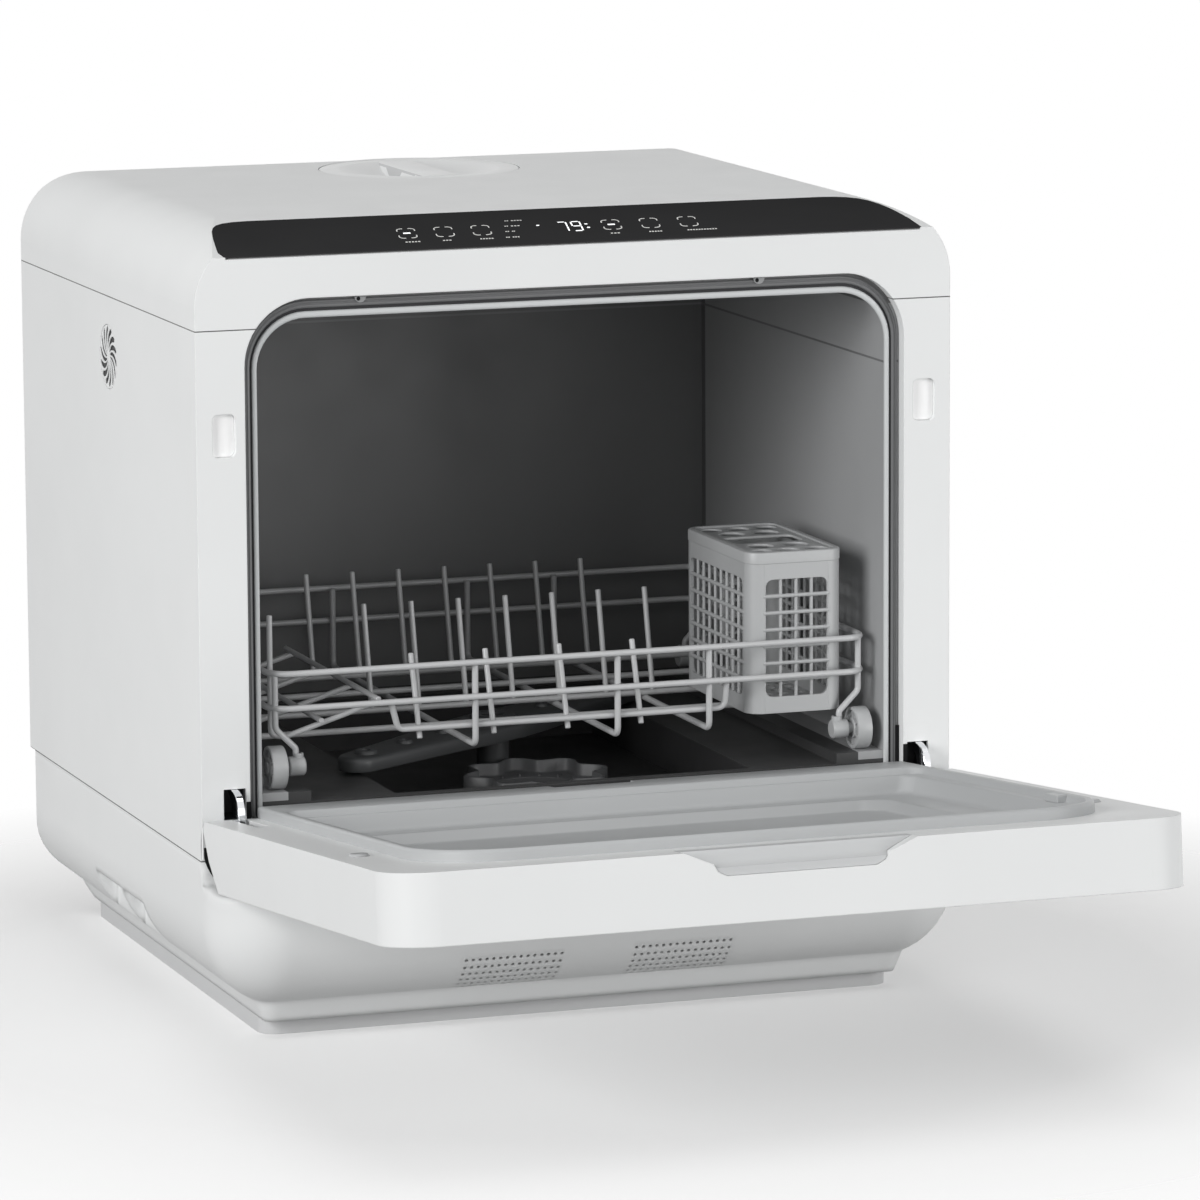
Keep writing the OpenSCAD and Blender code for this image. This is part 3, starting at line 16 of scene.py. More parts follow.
import bmesh
import bpy
from mathutils import Matrix, Vector

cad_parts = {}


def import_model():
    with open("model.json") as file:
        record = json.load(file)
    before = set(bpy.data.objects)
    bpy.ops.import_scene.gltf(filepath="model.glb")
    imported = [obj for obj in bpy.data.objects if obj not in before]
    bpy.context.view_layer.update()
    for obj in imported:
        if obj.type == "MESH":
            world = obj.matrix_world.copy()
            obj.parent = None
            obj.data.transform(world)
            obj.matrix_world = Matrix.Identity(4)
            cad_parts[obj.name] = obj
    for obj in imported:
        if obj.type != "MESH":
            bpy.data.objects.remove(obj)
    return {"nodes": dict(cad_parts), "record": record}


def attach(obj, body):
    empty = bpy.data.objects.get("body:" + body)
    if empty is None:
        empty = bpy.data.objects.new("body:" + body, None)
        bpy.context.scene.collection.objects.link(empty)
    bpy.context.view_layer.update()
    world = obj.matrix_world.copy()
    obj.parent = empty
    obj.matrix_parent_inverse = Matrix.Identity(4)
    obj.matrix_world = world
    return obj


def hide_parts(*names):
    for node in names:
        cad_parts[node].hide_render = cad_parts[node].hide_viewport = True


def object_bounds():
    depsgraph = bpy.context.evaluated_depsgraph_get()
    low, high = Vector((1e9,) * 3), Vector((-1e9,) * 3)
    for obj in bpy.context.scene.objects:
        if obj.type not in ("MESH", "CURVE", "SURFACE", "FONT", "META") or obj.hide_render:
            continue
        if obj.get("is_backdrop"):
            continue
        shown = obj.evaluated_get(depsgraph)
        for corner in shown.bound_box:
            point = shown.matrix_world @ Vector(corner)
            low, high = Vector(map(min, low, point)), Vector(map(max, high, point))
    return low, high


LOG = logging.getLogger("dishwasher")
MM = 0.001
SIDES = (-1, 1)

# The span that most of a noise field's values lie in
NOISE_LOW = 0.3
NOISE_HIGH = 0.7

# Sockets that the mix node uses for colours
MIX_FIRST = 6
MIX_SECOND = 7
MIX_RESULT = 2

# Samples of a softened edge, and the radius in metres from which it takes the larger number
EDGE_SAMPLES = 4
WIDE_EDGE = 0.002
WIDE_SAMPLES = 12

# How far the softened normal agrees with the plain one, on a face and on a round that takes the painted edge
# highlight
FLAT_FACING = 0.995
ROUND_FACING = 0.86

Point = tuple[float, float, float]
Flat = tuple[float, float]
Colour = tuple[float, float, float]
Row = tuple[float, float, float, float]
Mouth = tuple[tuple[float, ...], float, float]


# ---------- frames ----------
@dataclass(frozen=True)
class CabinetSizes:
    """Sizes that several sub-assemblies share, in millimetres."""

    front_plane: float = -178.0
    half_width: float = 210.0
    opening_half: float = 183.5
    opening_top: float = 390.0
    opening_round: float = 35.0
    height: float = 425.0
    door_angle: float = 5.9
    pivot_y: float = -195.9
    pivot_z: float = 102.4
    pivot_s: float = 15.8
    pivot_in: float = 17.5


CABINET = CabinetSizes()


class Place(Enum):
    """The frame that a piece's millimetres are measured in."""

    FRONT = "front"
    DOOR = "door"

    def matrix(self) -> Matrix:
        """Returns the matrix from this frame's millimetres to the model's metres."""
        if self is Place.FRONT:
            move = Matrix.Translation((0, CABINET.front_plane, 0))
        else:
            hinge = Matrix.Translation((0, CABINET.pivot_y, CABINET.pivot_z))
            swing = Matrix.Rotation(math.radians(-CABINET.door_angle), 4, "X")
            slab = Matrix.Translation((0, CABINET.pivot_s, CABINET.pivot_in))
            move = hinge @ swing @ slab @ Matrix.Diagonal((1, -1, 1, 1))
        return Matrix.Scale(MM, 4) @ move


# ---------- finishes ----------
class NodeBench:
    """Lays out one material's nodes."""

    def __init__(self, name: str) -> None:
        """Starts an empty node material.

        Args:
            name: The material's name.
        """
        self.material = bpy.data.materials.new(name)
        self.material.use_nodes = True
        self.tree = self.material.node_tree
        self.tree.nodes.clear()
        self.output = self.tree.nodes.new("ShaderNodeOutputMaterial")

    def add(self, kind: str, **sockets: object) -> bpy.types.Node:
        """Adds a node and sets its named inputs.

        Args:
            kind: The node type without its ShaderNode prefix.
            **sockets: Input values by name, with spaces as underscores, or a node output to link.

        Returns:
            The new node.
        """
        node = self.tree.nodes.new("ShaderNode" + kind)
        for key, value in sockets.items():
            target = node.inputs[key.replace("_", " ")]
            if isinstance(value, bpy.types.NodeSocket):
                self.tree.links.new(value, target)
            else:
                target.default_value = value
        return node

    def link(self, source: bpy.types.NodeSocket, target: bpy.types.NodeSocket) -> None:
        """Joins an output to an input.

        Args:
            source: The output.
            target: The input.
        """
        self.tree.links.new(source, target)

    def place(self) -> bpy.types.NodeSocket:
        """Returns the object-space position output."""
        return self.add("TexCoord").outputs["Object"]

    def noise(self, scale: float, detail: float = 2.0, stretch: Point = (1, 1, 1)) -> bpy.types.NodeSocket:
        """Adds a noise field in object space.

        Args:
            scale: Cells per metre.
            detail: Octaves of finer noise.
            stretch: Scale of each axis, for brushed or flowing marks.

        Returns:
            The noise value output, from 0 to 1.
        """
        mapping = self.add("Mapping", Vector=self.place(), Scale=stretch)
        node = self.add("TexNoise", Vector=mapping.outputs[0], Scale=scale, Detail=detail)
        return node.outputs["Fac"]

    def spread(self, value: bpy.types.NodeSocket, low: float, high: float) -> bpy.types.NodeSocket:
        """Maps a noise value's usual span to another range.

        Args:
            value: The noise value's output.
            low: The new range's lower end.
            high: Its upper end.

        Returns:
            The mapped value's output.
        """
        node = self.add(
            "MapRange", Value=value, From_Min=NOISE_LOW, From_Max=NOISE_HIGH, To_Min=low, To_Max=high,
        )
        return node.outputs["Result"]

    def tint(self, value: bpy.types.NodeSocket, dark: Colour, light: Colour) -> bpy.types.NodeSocket:
        """Blends two colours by a value.

        Args:
            value: The value's output.
            dark: The colour at low values.
            light: The colour at high values.

        Returns:
            The colour output.
        """
        node = self.tree.nodes.new("ShaderNodeValToRGB")
        first, last = node.color_ramp.elements
        first.position, last.position = NOISE_LOW, NOISE_HIGH
        first.color, last.color = (*dark, 1), (*light, 1)
        self.link(value, node.inputs[0])
        return node.outputs["Color"]

    def band(self, value: bpy.types.NodeSocket, centre: float, half: float) -> bpy.types.NodeSocket:
        """Marks where a value lies close to a centre.

        Args:
            value: The value's output.
            centre: The middle of the marked band.
            half: Half of the band's width.

        Returns:
            An output that is one inside the band and nought elsewhere.
        """
        node = self.tree.nodes.new("ShaderNodeMath")
        node.operation = "COMPARE"
        self.link(value, node.inputs[0])
        node.inputs[1].default_value = centre
        node.inputs[2].default_value = half
        return node.outputs[0]

    def blend(
        self, share: bpy.types.NodeSocket, first: bpy.types.NodeSocket, second: Colour,
    ) -> bpy.types.NodeSocket:
        """Mixes a plain colour over a colour output.

        Args:
            share: How much of the plain colour shows, from 0 to 1.
            first: The colour output underneath.
            second: The plain colour.

        Returns:
            The mixed colour output.
        """
        node = self.tree.nodes.new("ShaderNodeMix")
        node.data_type = "RGBA"
        self.link(share, node.inputs[0])
        self.link(first, node.inputs[MIX_FIRST])
        node.inputs[MIX_SECOND].default_value = (*second, 1)
        return node.outputs[MIX_RESULT]

    def edge_highlight_mask(self, radius: float) -> bpy.types.NodeSocket:
        """Returns the mask of the painted edge highlight: one on the rounds of an edge, fading to nought on
        the faces beside it.

        Args:
            radius: How far from the edge the mark reaches, in metres.

        Returns:
            The mark's output.
        """
        soft = self.add("Bevel", Radius=radius)
        soft.samples = EDGE_SAMPLES
        plain = self.add("NewGeometry").outputs["Normal"]
        node = self.tree.nodes.new("ShaderNodeVectorMath")
        node.operation = "DOT_PRODUCT"
        self.link(soft.outputs[0], node.inputs[0])
        self.link(plain, node.inputs[1])
        facing = node.outputs["Value"]
        share = self.add("MapRange", Value=facing, From_Min=FLAT_FACING, From_Max=ROUND_FACING)
        return share.outputs["Result"]

    def bump(self, height: bpy.types.NodeSocket, depth: float, edge: float = 0.0) -> bpy.types.NodeSocket:
        """Turns a height field into a normal, over edges that are softened by a small radius.

        Args:
            height: The height field.
            depth: Height of the field in metres.
            edge: Radius that edges are softened by, in metres.

        Returns:
            The normal output.
        """
        node = self.add("Bump", Height=height, Distance=depth, Strength=1.0)
        if edge > 0:
            soft = self.add("Bevel", Radius=edge)
            soft.samples = EDGE_SAMPLES if edge < WIDE_EDGE else WIDE_SAMPLES
            self.link(soft.outputs[0], node.inputs["Normal"])
        return node.outputs["Normal"]

    def close(self, shader: bpy.types.NodeSocket) -> bpy.types.Material:
        """Joins the shader to the output and returns the material."""
        self.link(shader, self.output.inputs["Surface"])
        return self.material


MADE: dict[str, bpy.types.Material] = {}


class Finish(ABC):
    """A surface finish that makes its material once."""

    name: str
    slot: str = ""

    def material(self) -> bpy.types.Material:
        """Returns the finish's material, made on first use."""
        if self.name not in MADE:
            MADE[self.name] = self.build(NodeBench(self.name))
        return MADE[self.name]

    @abstractmethod
    def build(self, bench: NodeBench) -> bpy.types.Material:
        """Builds the nodes and returns the material."""


def shade(colour: Colour, factor: float) -> Colour:
    """Returns a lighter or darker colour.

    Args:
        colour: The colour to start from.
        factor: What each channel is multiplied by.

    Returns:
        The scaled colour, with no channel above one.
    """
    return tuple(min(1.0, c * factor) for c in colour)


@dataclass(frozen=True)
class Moulded(Finish):
    """Moulded plastic: faint mottle, a fine grain, slightly uneven gloss and an optional painted highlight on
    edge rounds.
    """

    name: str
    colour: Colour
    roughness: float = 0.42
    mottle: float = 0.015
    grain: float = 2200.0
    grain_depth: float = 0.00001
    edge: float = 0.0
    specular: float = 0.5
    edge_highlight: float = 0.0
    highlight_tone: float = 1.2
    cloud: float = 9.0
    gloss: float = 38.0
    gloss_swing: float = 0.04
    octaves: float = 3.0
    slot: str = ""

    def paint(self, bench: NodeBench) -> bpy.types.NodeSocket:
        """Lays out the colour, with a painted highlight on the rounds of edges, and returns its output."""
        dark, light = shade(self.colour, 1 - self.mottle), shade(self.colour, 1 + self.mottle)
        colour = bench.tint(bench.noise(self.cloud, self.octaves), dark, light)
        # Painted highlight: the rounds of edges are lightened to the highlight tone.
        if self.edge_highlight > 0:
            colour = bench.blend(bench.edge_highlight_mask(self.edge_highlight), colour, shade(self.colour, self.highlight_tone))
        return colour

    def build(self, bench: NodeBench) -> bpy.types.Material:
        """Builds the plastic's nodes and returns the material."""
        colour = self.paint(bench)
        low, high = self.roughness - self.gloss_swing, self.roughness + self.gloss_swing
        gloss = bench.spread(bench.noise(self.gloss, self.octaves), low, high)
        normal = bench.bump(bench.noise(self.grain), self.grain_depth, self.edge)
        skin = bench.add("BsdfPrincipled", Base_Color=colour, Roughness=gloss, Normal=normal)
        skin.inputs["Specular IOR Level"].default_value = self.specular
        return bench.close(skin.outputs[0])


@dataclass(frozen=True)
class SeamedShell(Moulded):
    """Moulded shell with dark shut lines where it meets the next shell."""

    seams: tuple[float, ...] = (0.375, 0.096)
    seam_half: float = 0.0003
    seam_colour: Colour = (0.12, 0.12, 0.12)

    def paint(self, bench: NodeBench) -> bpy.types.NodeSocket:
        """Lays out the colour with its shut lines and returns its output."""
        colour = super().paint(bench)
        height = bench.add("SeparateXYZ", Vector=bench.place()).outputs["Z"]
        for level in self.seams:
            colour = bench.blend(bench.band(height, level, self.seam_half), colour, self.seam_colour)
        return colour


@dataclass(frozen=True)
class Basin(Moulded):
    """Tub moulding whose floor steps are darker than its walls, with painted shade darkening its back wall
    and ceiling.
    """

    steps: tuple[tuple[float, Colour], ...] = (
        (0.1245, (0.045, 0.0455, 0.046)),
        (0.1225, (0.03, 0.03, 0.031)),
    )
    reach: float = 0.2
    ceiling: float = 0.372
    lines: tuple[float, ...] = (0.3405,)
    line_half: float = 0.0006
    line_tone: float = 0.5
    back_from: float = 0.108
    painted_shade_tone: Colour = (0.125, 0.127, 0.128)
    ledge: Flat = (0.1605, 0.1292)

    def paint(self, bench: NodeBench) -> bpy.types.NodeSocket:
        """Lays out the wall and floor colours, with painted shade on the back wall and ceiling, and returns
        the output.
        """
        colour = super().paint(bench)
        axes = bench.add("SeparateXYZ", Vector=bench.place())
        height = axes.outputs["Z"]
        # Painted shade: the back wall and the part under the ceiling are darkened to the shade tone.
        behind = bench.band(axes.outputs["Y"], self.back_from + self.reach, self.reach)
        colour = bench.blend(behind, colour, self.painted_shade_tone)
        above = bench.band(height, self.ceiling + self.reach, self.reach)
        colour = bench.blend(above, colour, self.painted_shade_tone)
        ledge = bench.tree.nodes.new("ShaderNodeMath")
        ledge.operation = "MULTIPLY"
        bench.link(bench.band(axes.outputs["X"], 0, self.ledge[0]), ledge.inputs[0])
        bench.link(bench.band(height, self.ledge[1] - self.reach, self.reach), ledge.inputs[1])
        colour = bench.blend(ledge.outputs[0], colour, self.steps[0][1])
        for level, tone in self.steps:
            colour = bench.blend(bench.band(height, level - self.reach, self.reach), colour, tone)
        for level in self.lines:
            mark = bench.band(height, level, self.line_half)
            colour = bench.blend(mark, colour, shade(self.colour, self.line_tone))
        return colour


@dataclass(frozen=True)
class MattPanel(Finish):
    """Dark matt panel with faint smears across it."""

    name: str
    colour: Colour
    roughness: float = 0.38
    specular: float = 0.0
    tones: Flat = (0.95, 1.06)
    cloud: Flat = (14.0, 3.0)
    smear: Flat = (22.0, 4.0)
    smear_stretch: Point = (1, 4, 1)
    smear_swing: Flat = (-0.05, 0.06)
    grain: float = 1500.0
    grain_depth: float = 0.000004

    def build(self, bench: NodeBench) -> bpy.types.Material:
        """Builds the panel's nodes and returns the material."""
        dark, light = (shade(self.colour, tone) for tone in self.tones)
        colour = bench.tint(bench.noise(*self.cloud), dark, light)
        low, high = (self.roughness + swing for swing in self.smear_swing)
        smear = bench.spread(bench.noise(*self.smear, self.smear_stretch), low, high)
        normal = bench.bump(bench.noise(self.grain), self.grain_depth)
        skin = bench.add("BsdfPrincipled", Base_Color=colour, Roughness=smear, Normal=normal)
        skin.inputs["Specular IOR Level"].default_value = self.specular
        return bench.close(skin.outputs[0])


@dataclass(frozen=True)
class Metal(Finish):
    """Plated or brushed metal with fine marks along one axis."""

    name: str
    colour: Colour
    roughness: float
    stretch: Point = (1, 1, 1)
    marks: Flat = (900.0, 3.0)
    mark_depth: float = 0.000003
    cloud: float = 30.0
    tones: Flat = (0.93, 1.05)
    gloss_span: Flat = (0.7, 1.4)

    def build(self, bench: NodeBench) -> bpy.types.Material:
        """Builds the metal's nodes and returns the material."""
        lines = bench.noise(*self.marks, self.stretch)
        dark, light = (shade(self.colour, tone) for tone in self.tones)
        colour = bench.tint(bench.noise(self.cloud), dark, light)
        low, high = (self.roughness * share for share in self.gloss_span)
        gloss = bench.spread(lines, low, high)
        normal = bench.bump(lines, self.mark_depth)
        skin = bench.add("BsdfPrincipled", Base_Color=colour, Roughness=gloss, Normal=normal)
        skin.inputs["Metallic"].default_value = 1.0
        return bench.close(skin.outputs[0])


@dataclass(frozen=True)
class Glow(Finish):
    """Lit mark on the panel, a little uneven; on printed marks the glow is painted light."""

    name: str
    colour: Colour
    strength: float
    roughness: float = 0.4
    grain: float = 400.0
    dark_tone: float = 0.9

    def build(self, bench: NodeBench) -> bpy.types.Material:
        """Builds the lit mark's nodes and returns the material."""
        colour = bench.tint(bench.noise(self.grain), shade(self.colour, self.dark_tone), self.colour)
        skin = bench.add(
            "BsdfPrincipled", Base_Color=colour, Emission_Color=colour, Roughness=self.roughness,
        )
        skin.inputs["Emission Strength"].default_value = self.strength
        return bench.close(skin.outputs[0])


@dataclass(frozen=True)
class CircuitBoard(Finish):
    """Green lacquered board with a pattern of copper tracks."""

    name: str
    board: Colour = (0.03, 0.16, 0.07)
    track: Colour = (0.06, 0.26, 0.12)
    pale_tone: float = 1.2
    cells: float = 160.0
    track_width: float = 0.03
    track_depth: float = 0.00004
    gloss: float = 60.0
    gloss_span: Flat = (0.25, 0.4)

    def build(self, bench: NodeBench) -> bpy.types.Material:
        """Builds the board's nodes and returns the material."""
        bricks = bench.add(
            "TexBrick", Vector=bench.place(), Scale=self.cells, Mortar_Size=self.track_width,
        )
        bricks.inputs["Color1"].default_value = (*self.board, 1)
        bricks.inputs["Color2"].default_value = (*shade(self.board, self.pale_tone), 1)
        bricks.inputs["Mortar"].default_value = (*self.track, 1)
        gloss = bench.spread(bench.noise(self.gloss), *self.gloss_span)
        normal = bench.bump(bricks.outputs["Fac"], self.track_depth)
        colour = bricks.outputs["Color"]
        skin = bench.add("BsdfPrincipled", Base_Color=colour, Roughness=gloss, Normal=normal)
        return bench.close(skin.outputs[0])


SHELL_WHITE: Colour = (0.80, 0.81, 0.81)
# The white shell carries a painted highlight on its edge rounds.
WHITE = SeamedShell("white_shell", SHELL_WHITE, 0.44, edge=0.0009, specular=0.3, edge_highlight=0.0007)
WHITE_CAP = Moulded("white_cap", (0.79, 0.80, 0.80), 0.34, edge=0.0006)
PANEL = MattPanel("panel_black", (0.040, 0.040, 0.041))
# Painted light: the printed marks glow faintly, though print gives no light.
PRINT_GLOW = Glow("panel_marks", (0.62, 0.62, 0.60), 0.25)
DIGITS = Glow("lit_digits", (0.9, 0.92, 0.93), 0.9)
LINER = Moulded("liner_grey", (0.45, 0.46, 0.465), 0.4, edge=0.0008, specular=0.35)
TUB = Basin("tub_grey", (0.37, 0.375, 0.38), 0.45, grain=1200.0, grain_depth=0.00003)
SPRAY = Moulded("spray_grey", (0.075, 0.078, 0.08), 0.42, edge=0.0006)
RACK_GREY = Moulded("rack_grey", (0.42, 0.428, 0.432), 0.4, edge=0.0004)
WIRE = Moulded("coated_wire", (0.50, 0.505, 0.51), 0.33, grain=900.0, grain_depth=0.00002)
DARK = Moulded("dark_plastic", (0.02, 0.02, 0.022), 0.5)
DUCT = Moulded("duct_grey", (0.18, 0.185, 0.19), 0.45)
TANK = Moulded("tank_plastic", (0.7, 0.74, 0.78), 0.3)
RUBBER = Moulded("soft_rubber", (0.022, 0.022, 0.024), 0.65, grain=700.0, grain_depth=0.00004, specular=0.3)
CHROME = Metal("bright_steel", (0.82, 0.83, 0.85), 0.08)
STEEL = Metal("plain_steel", (0.58, 0.59, 0.60), 0.28, (1, 1, 12))
BOARD = CircuitBoard("circuit_green")


# Shades of single pieces that belong to a shared material slot
SEAL = Moulded("lip_grey", (0.14, 0.142, 0.145), 0.5, slot="soft_rubber")
BEAD = Moulded("bead_grey", (0.58, 0.595, 0.60), 0.4, edge=0.0003, slot="liner_grey")
COLLAR = Moulded("collar_grey", (0.10, 0.102, 0.105), 0.45, edge=0.0006, slot="spray_grey")
TRACK = Moulded("track_grey", (0.40, 0.405, 0.41), 0.42, slot="tub_grey")
COVER = Moulded("cover_white", SHELL_WHITE, 0.44, specular=0.3, slot="white_shell")
PAD = Moulded("pad_white", (0.95, 0.95, 0.95), 0.5, slot="white_shell")
# Painted shade: grey for the sloped sides of the cap's grip bar.
FLANK_SHADE = Moulded("flank_painted_shade", (0.52, 0.525, 0.53), 0.42, slot="white_cap")
# The door carries a painted highlight on its edge rounds.
DOOR = Moulded("door_white", SHELL_WHITE, 0.44, edge=0.0009, specular=0.3, edge_highlight=0.0006, slot="white_shell")
BASE = SeamedShell("base_white", SHELL_WHITE, 0.44, edge=0.006, specular=0.3)
# Painted shade: black sheets in the hinge pockets, the catch holes and the door's corner gaps.
SHADE_BLACK = Moulded("painted_shade_black", (0.012, 0.012, 0.013), 0.7, specular=0.1, slot="dark_plastic")
CATCH = Moulded("catch_grey", (0.30, 0.305, 0.31), 0.4, slot="plain_steel")
# Painted shade: near-black disc seen through the side vent's slots.
VENT_SHADE = Moulded("vent_shade_grey", (0.05, 0.051, 0.052), 0.6, specular=0.2, slot="duct_grey")
# Painted highlight: bright white for the lines along the shells' front edges.
HIGHLIGHT_WHITE = Moulded("painted_highlight_white", (0.95, 0.955, 0.955), 0.3, slot="white_shell")
PLINTH = Moulded("plinth_grey", (0.62, 0.625, 0.63), 0.45, edge=0.0006, specular=0.3, slot="white_shell")
SCOOP = Moulded("scoop_grey", (0.54, 0.55, 0.555), 0.4, edge=0.0006, slot="liner_grey")

NODE_FINISH: dict[str, Finish] = {
    "frame_pads": PAD,
    "door_shell": DOOR,
    "base_shell": BASE,
    "base_tray": PLINTH,
    "grip_insert": SCOOP,
}

SLOT_FINISH: dict[str, Finish] = {
    finish.name: finish
    for finish in (
        WHITE, WHITE_CAP, PANEL, PRINT_GLOW, DIGITS, LINER, TUB, SPRAY, RACK_GREY, WIRE, DARK, DUCT, TANK,
        RUBBER, CHROME, STEEL, BOARD,
    )
}


# ---------- shaping ----------
# Turn in radians below which a corner stays as it is, a bend's largest share of a leg, and its segments
STRAIGHT = 0.05
BEND_SHARE = 0.45
BEND_STEPS = 5


def arc(centre: Flat, radius: float, start: float, end: float, steps: int) -> list[Flat]:
    """Returns points along an arc.

    Args:
        centre: The arc's centre.
        radius: Its radius.
        start: Its first angle in degrees.
        end: Its last angle in degrees.
        steps: The number of segments.

    Returns:
        The points, both ends included.
    """
    angles = [math.radians(start + (end - start) * i / steps) for i in range(steps + 1)]
    return [(centre[0] + radius * math.cos(a), centre[1] + radius * math.sin(a)) for a in angles]


def circle(centre: Flat, radius: float, steps: int) -> list[Flat]:
    """Returns points round a full circle.

    Args:
        centre: The circle's centre.
        radius: Its radius.
        steps: The number of points.

    Returns:
        The points, each once, starting on the right.
    """
    return arc(centre, radius, 0, 360 * (steps - 1) / steps, steps - 1)


def rounded_loop(low: Flat, high: Flat, near: float, far: float, steps: int = 8) -> list[Flat]:
    """Returns a rectangle with round corners as a closed loop.

    Args:
        low: The low corner.
        high: The high corner.
        near: Corner radius at the low second coordinate.
        far: Corner radius at the high second coordinate.
        steps: Segments of each corner.

    Returns:
        The loop's points, starting at the near left corner.
    """
    corners = (
        ((low[0] + near, low[1] + near), near, 180),
        ((high[0] - near, low[1] + near), near, 270),
        ((high[0] - far, high[1] - far), far, 0),
        ((low[0] + far, high[1] - far), far, 90),
    )
    return [
        point
        for centre, radius, turn in corners
        for point in arc(centre, radius, turn, turn + 90, steps)
    ]


def filleted(path: Sequence[Point], bend: float) -> list[Vector]:
    """Rounds off the inner corners of an open path.

    Args:
        path: The path's corner points.
        bend: The wanted bend radius.

    Returns:
        The rounded path.
    """
    points = [Vector(p) for p in path]
    result = [points[0]]
    for before, corner, after in zip(points, points[1:], points[2:]):
        to_before, to_after = before - corner, after - corner
        turn = math.pi - to_before.angle(to_after)
        if turn < STRAIGHT:
            result.append(corner)
            continue
        room = BEND_SHARE * min(to_before.length, to_after.length)
        cut = min(bend * math.tan(turn / 2), room)
        first = corner + to_before.normalized() * cut
        last = corner + to_after.normalized() * cut
        for i in range(BEND_STEPS + 1):
            t = i / BEND_STEPS
            result.append(first * (1 - t) ** 2 + corner * 2 * t * (1 - t) + last * t ** 2)
    result.append(points[-1])
    return result


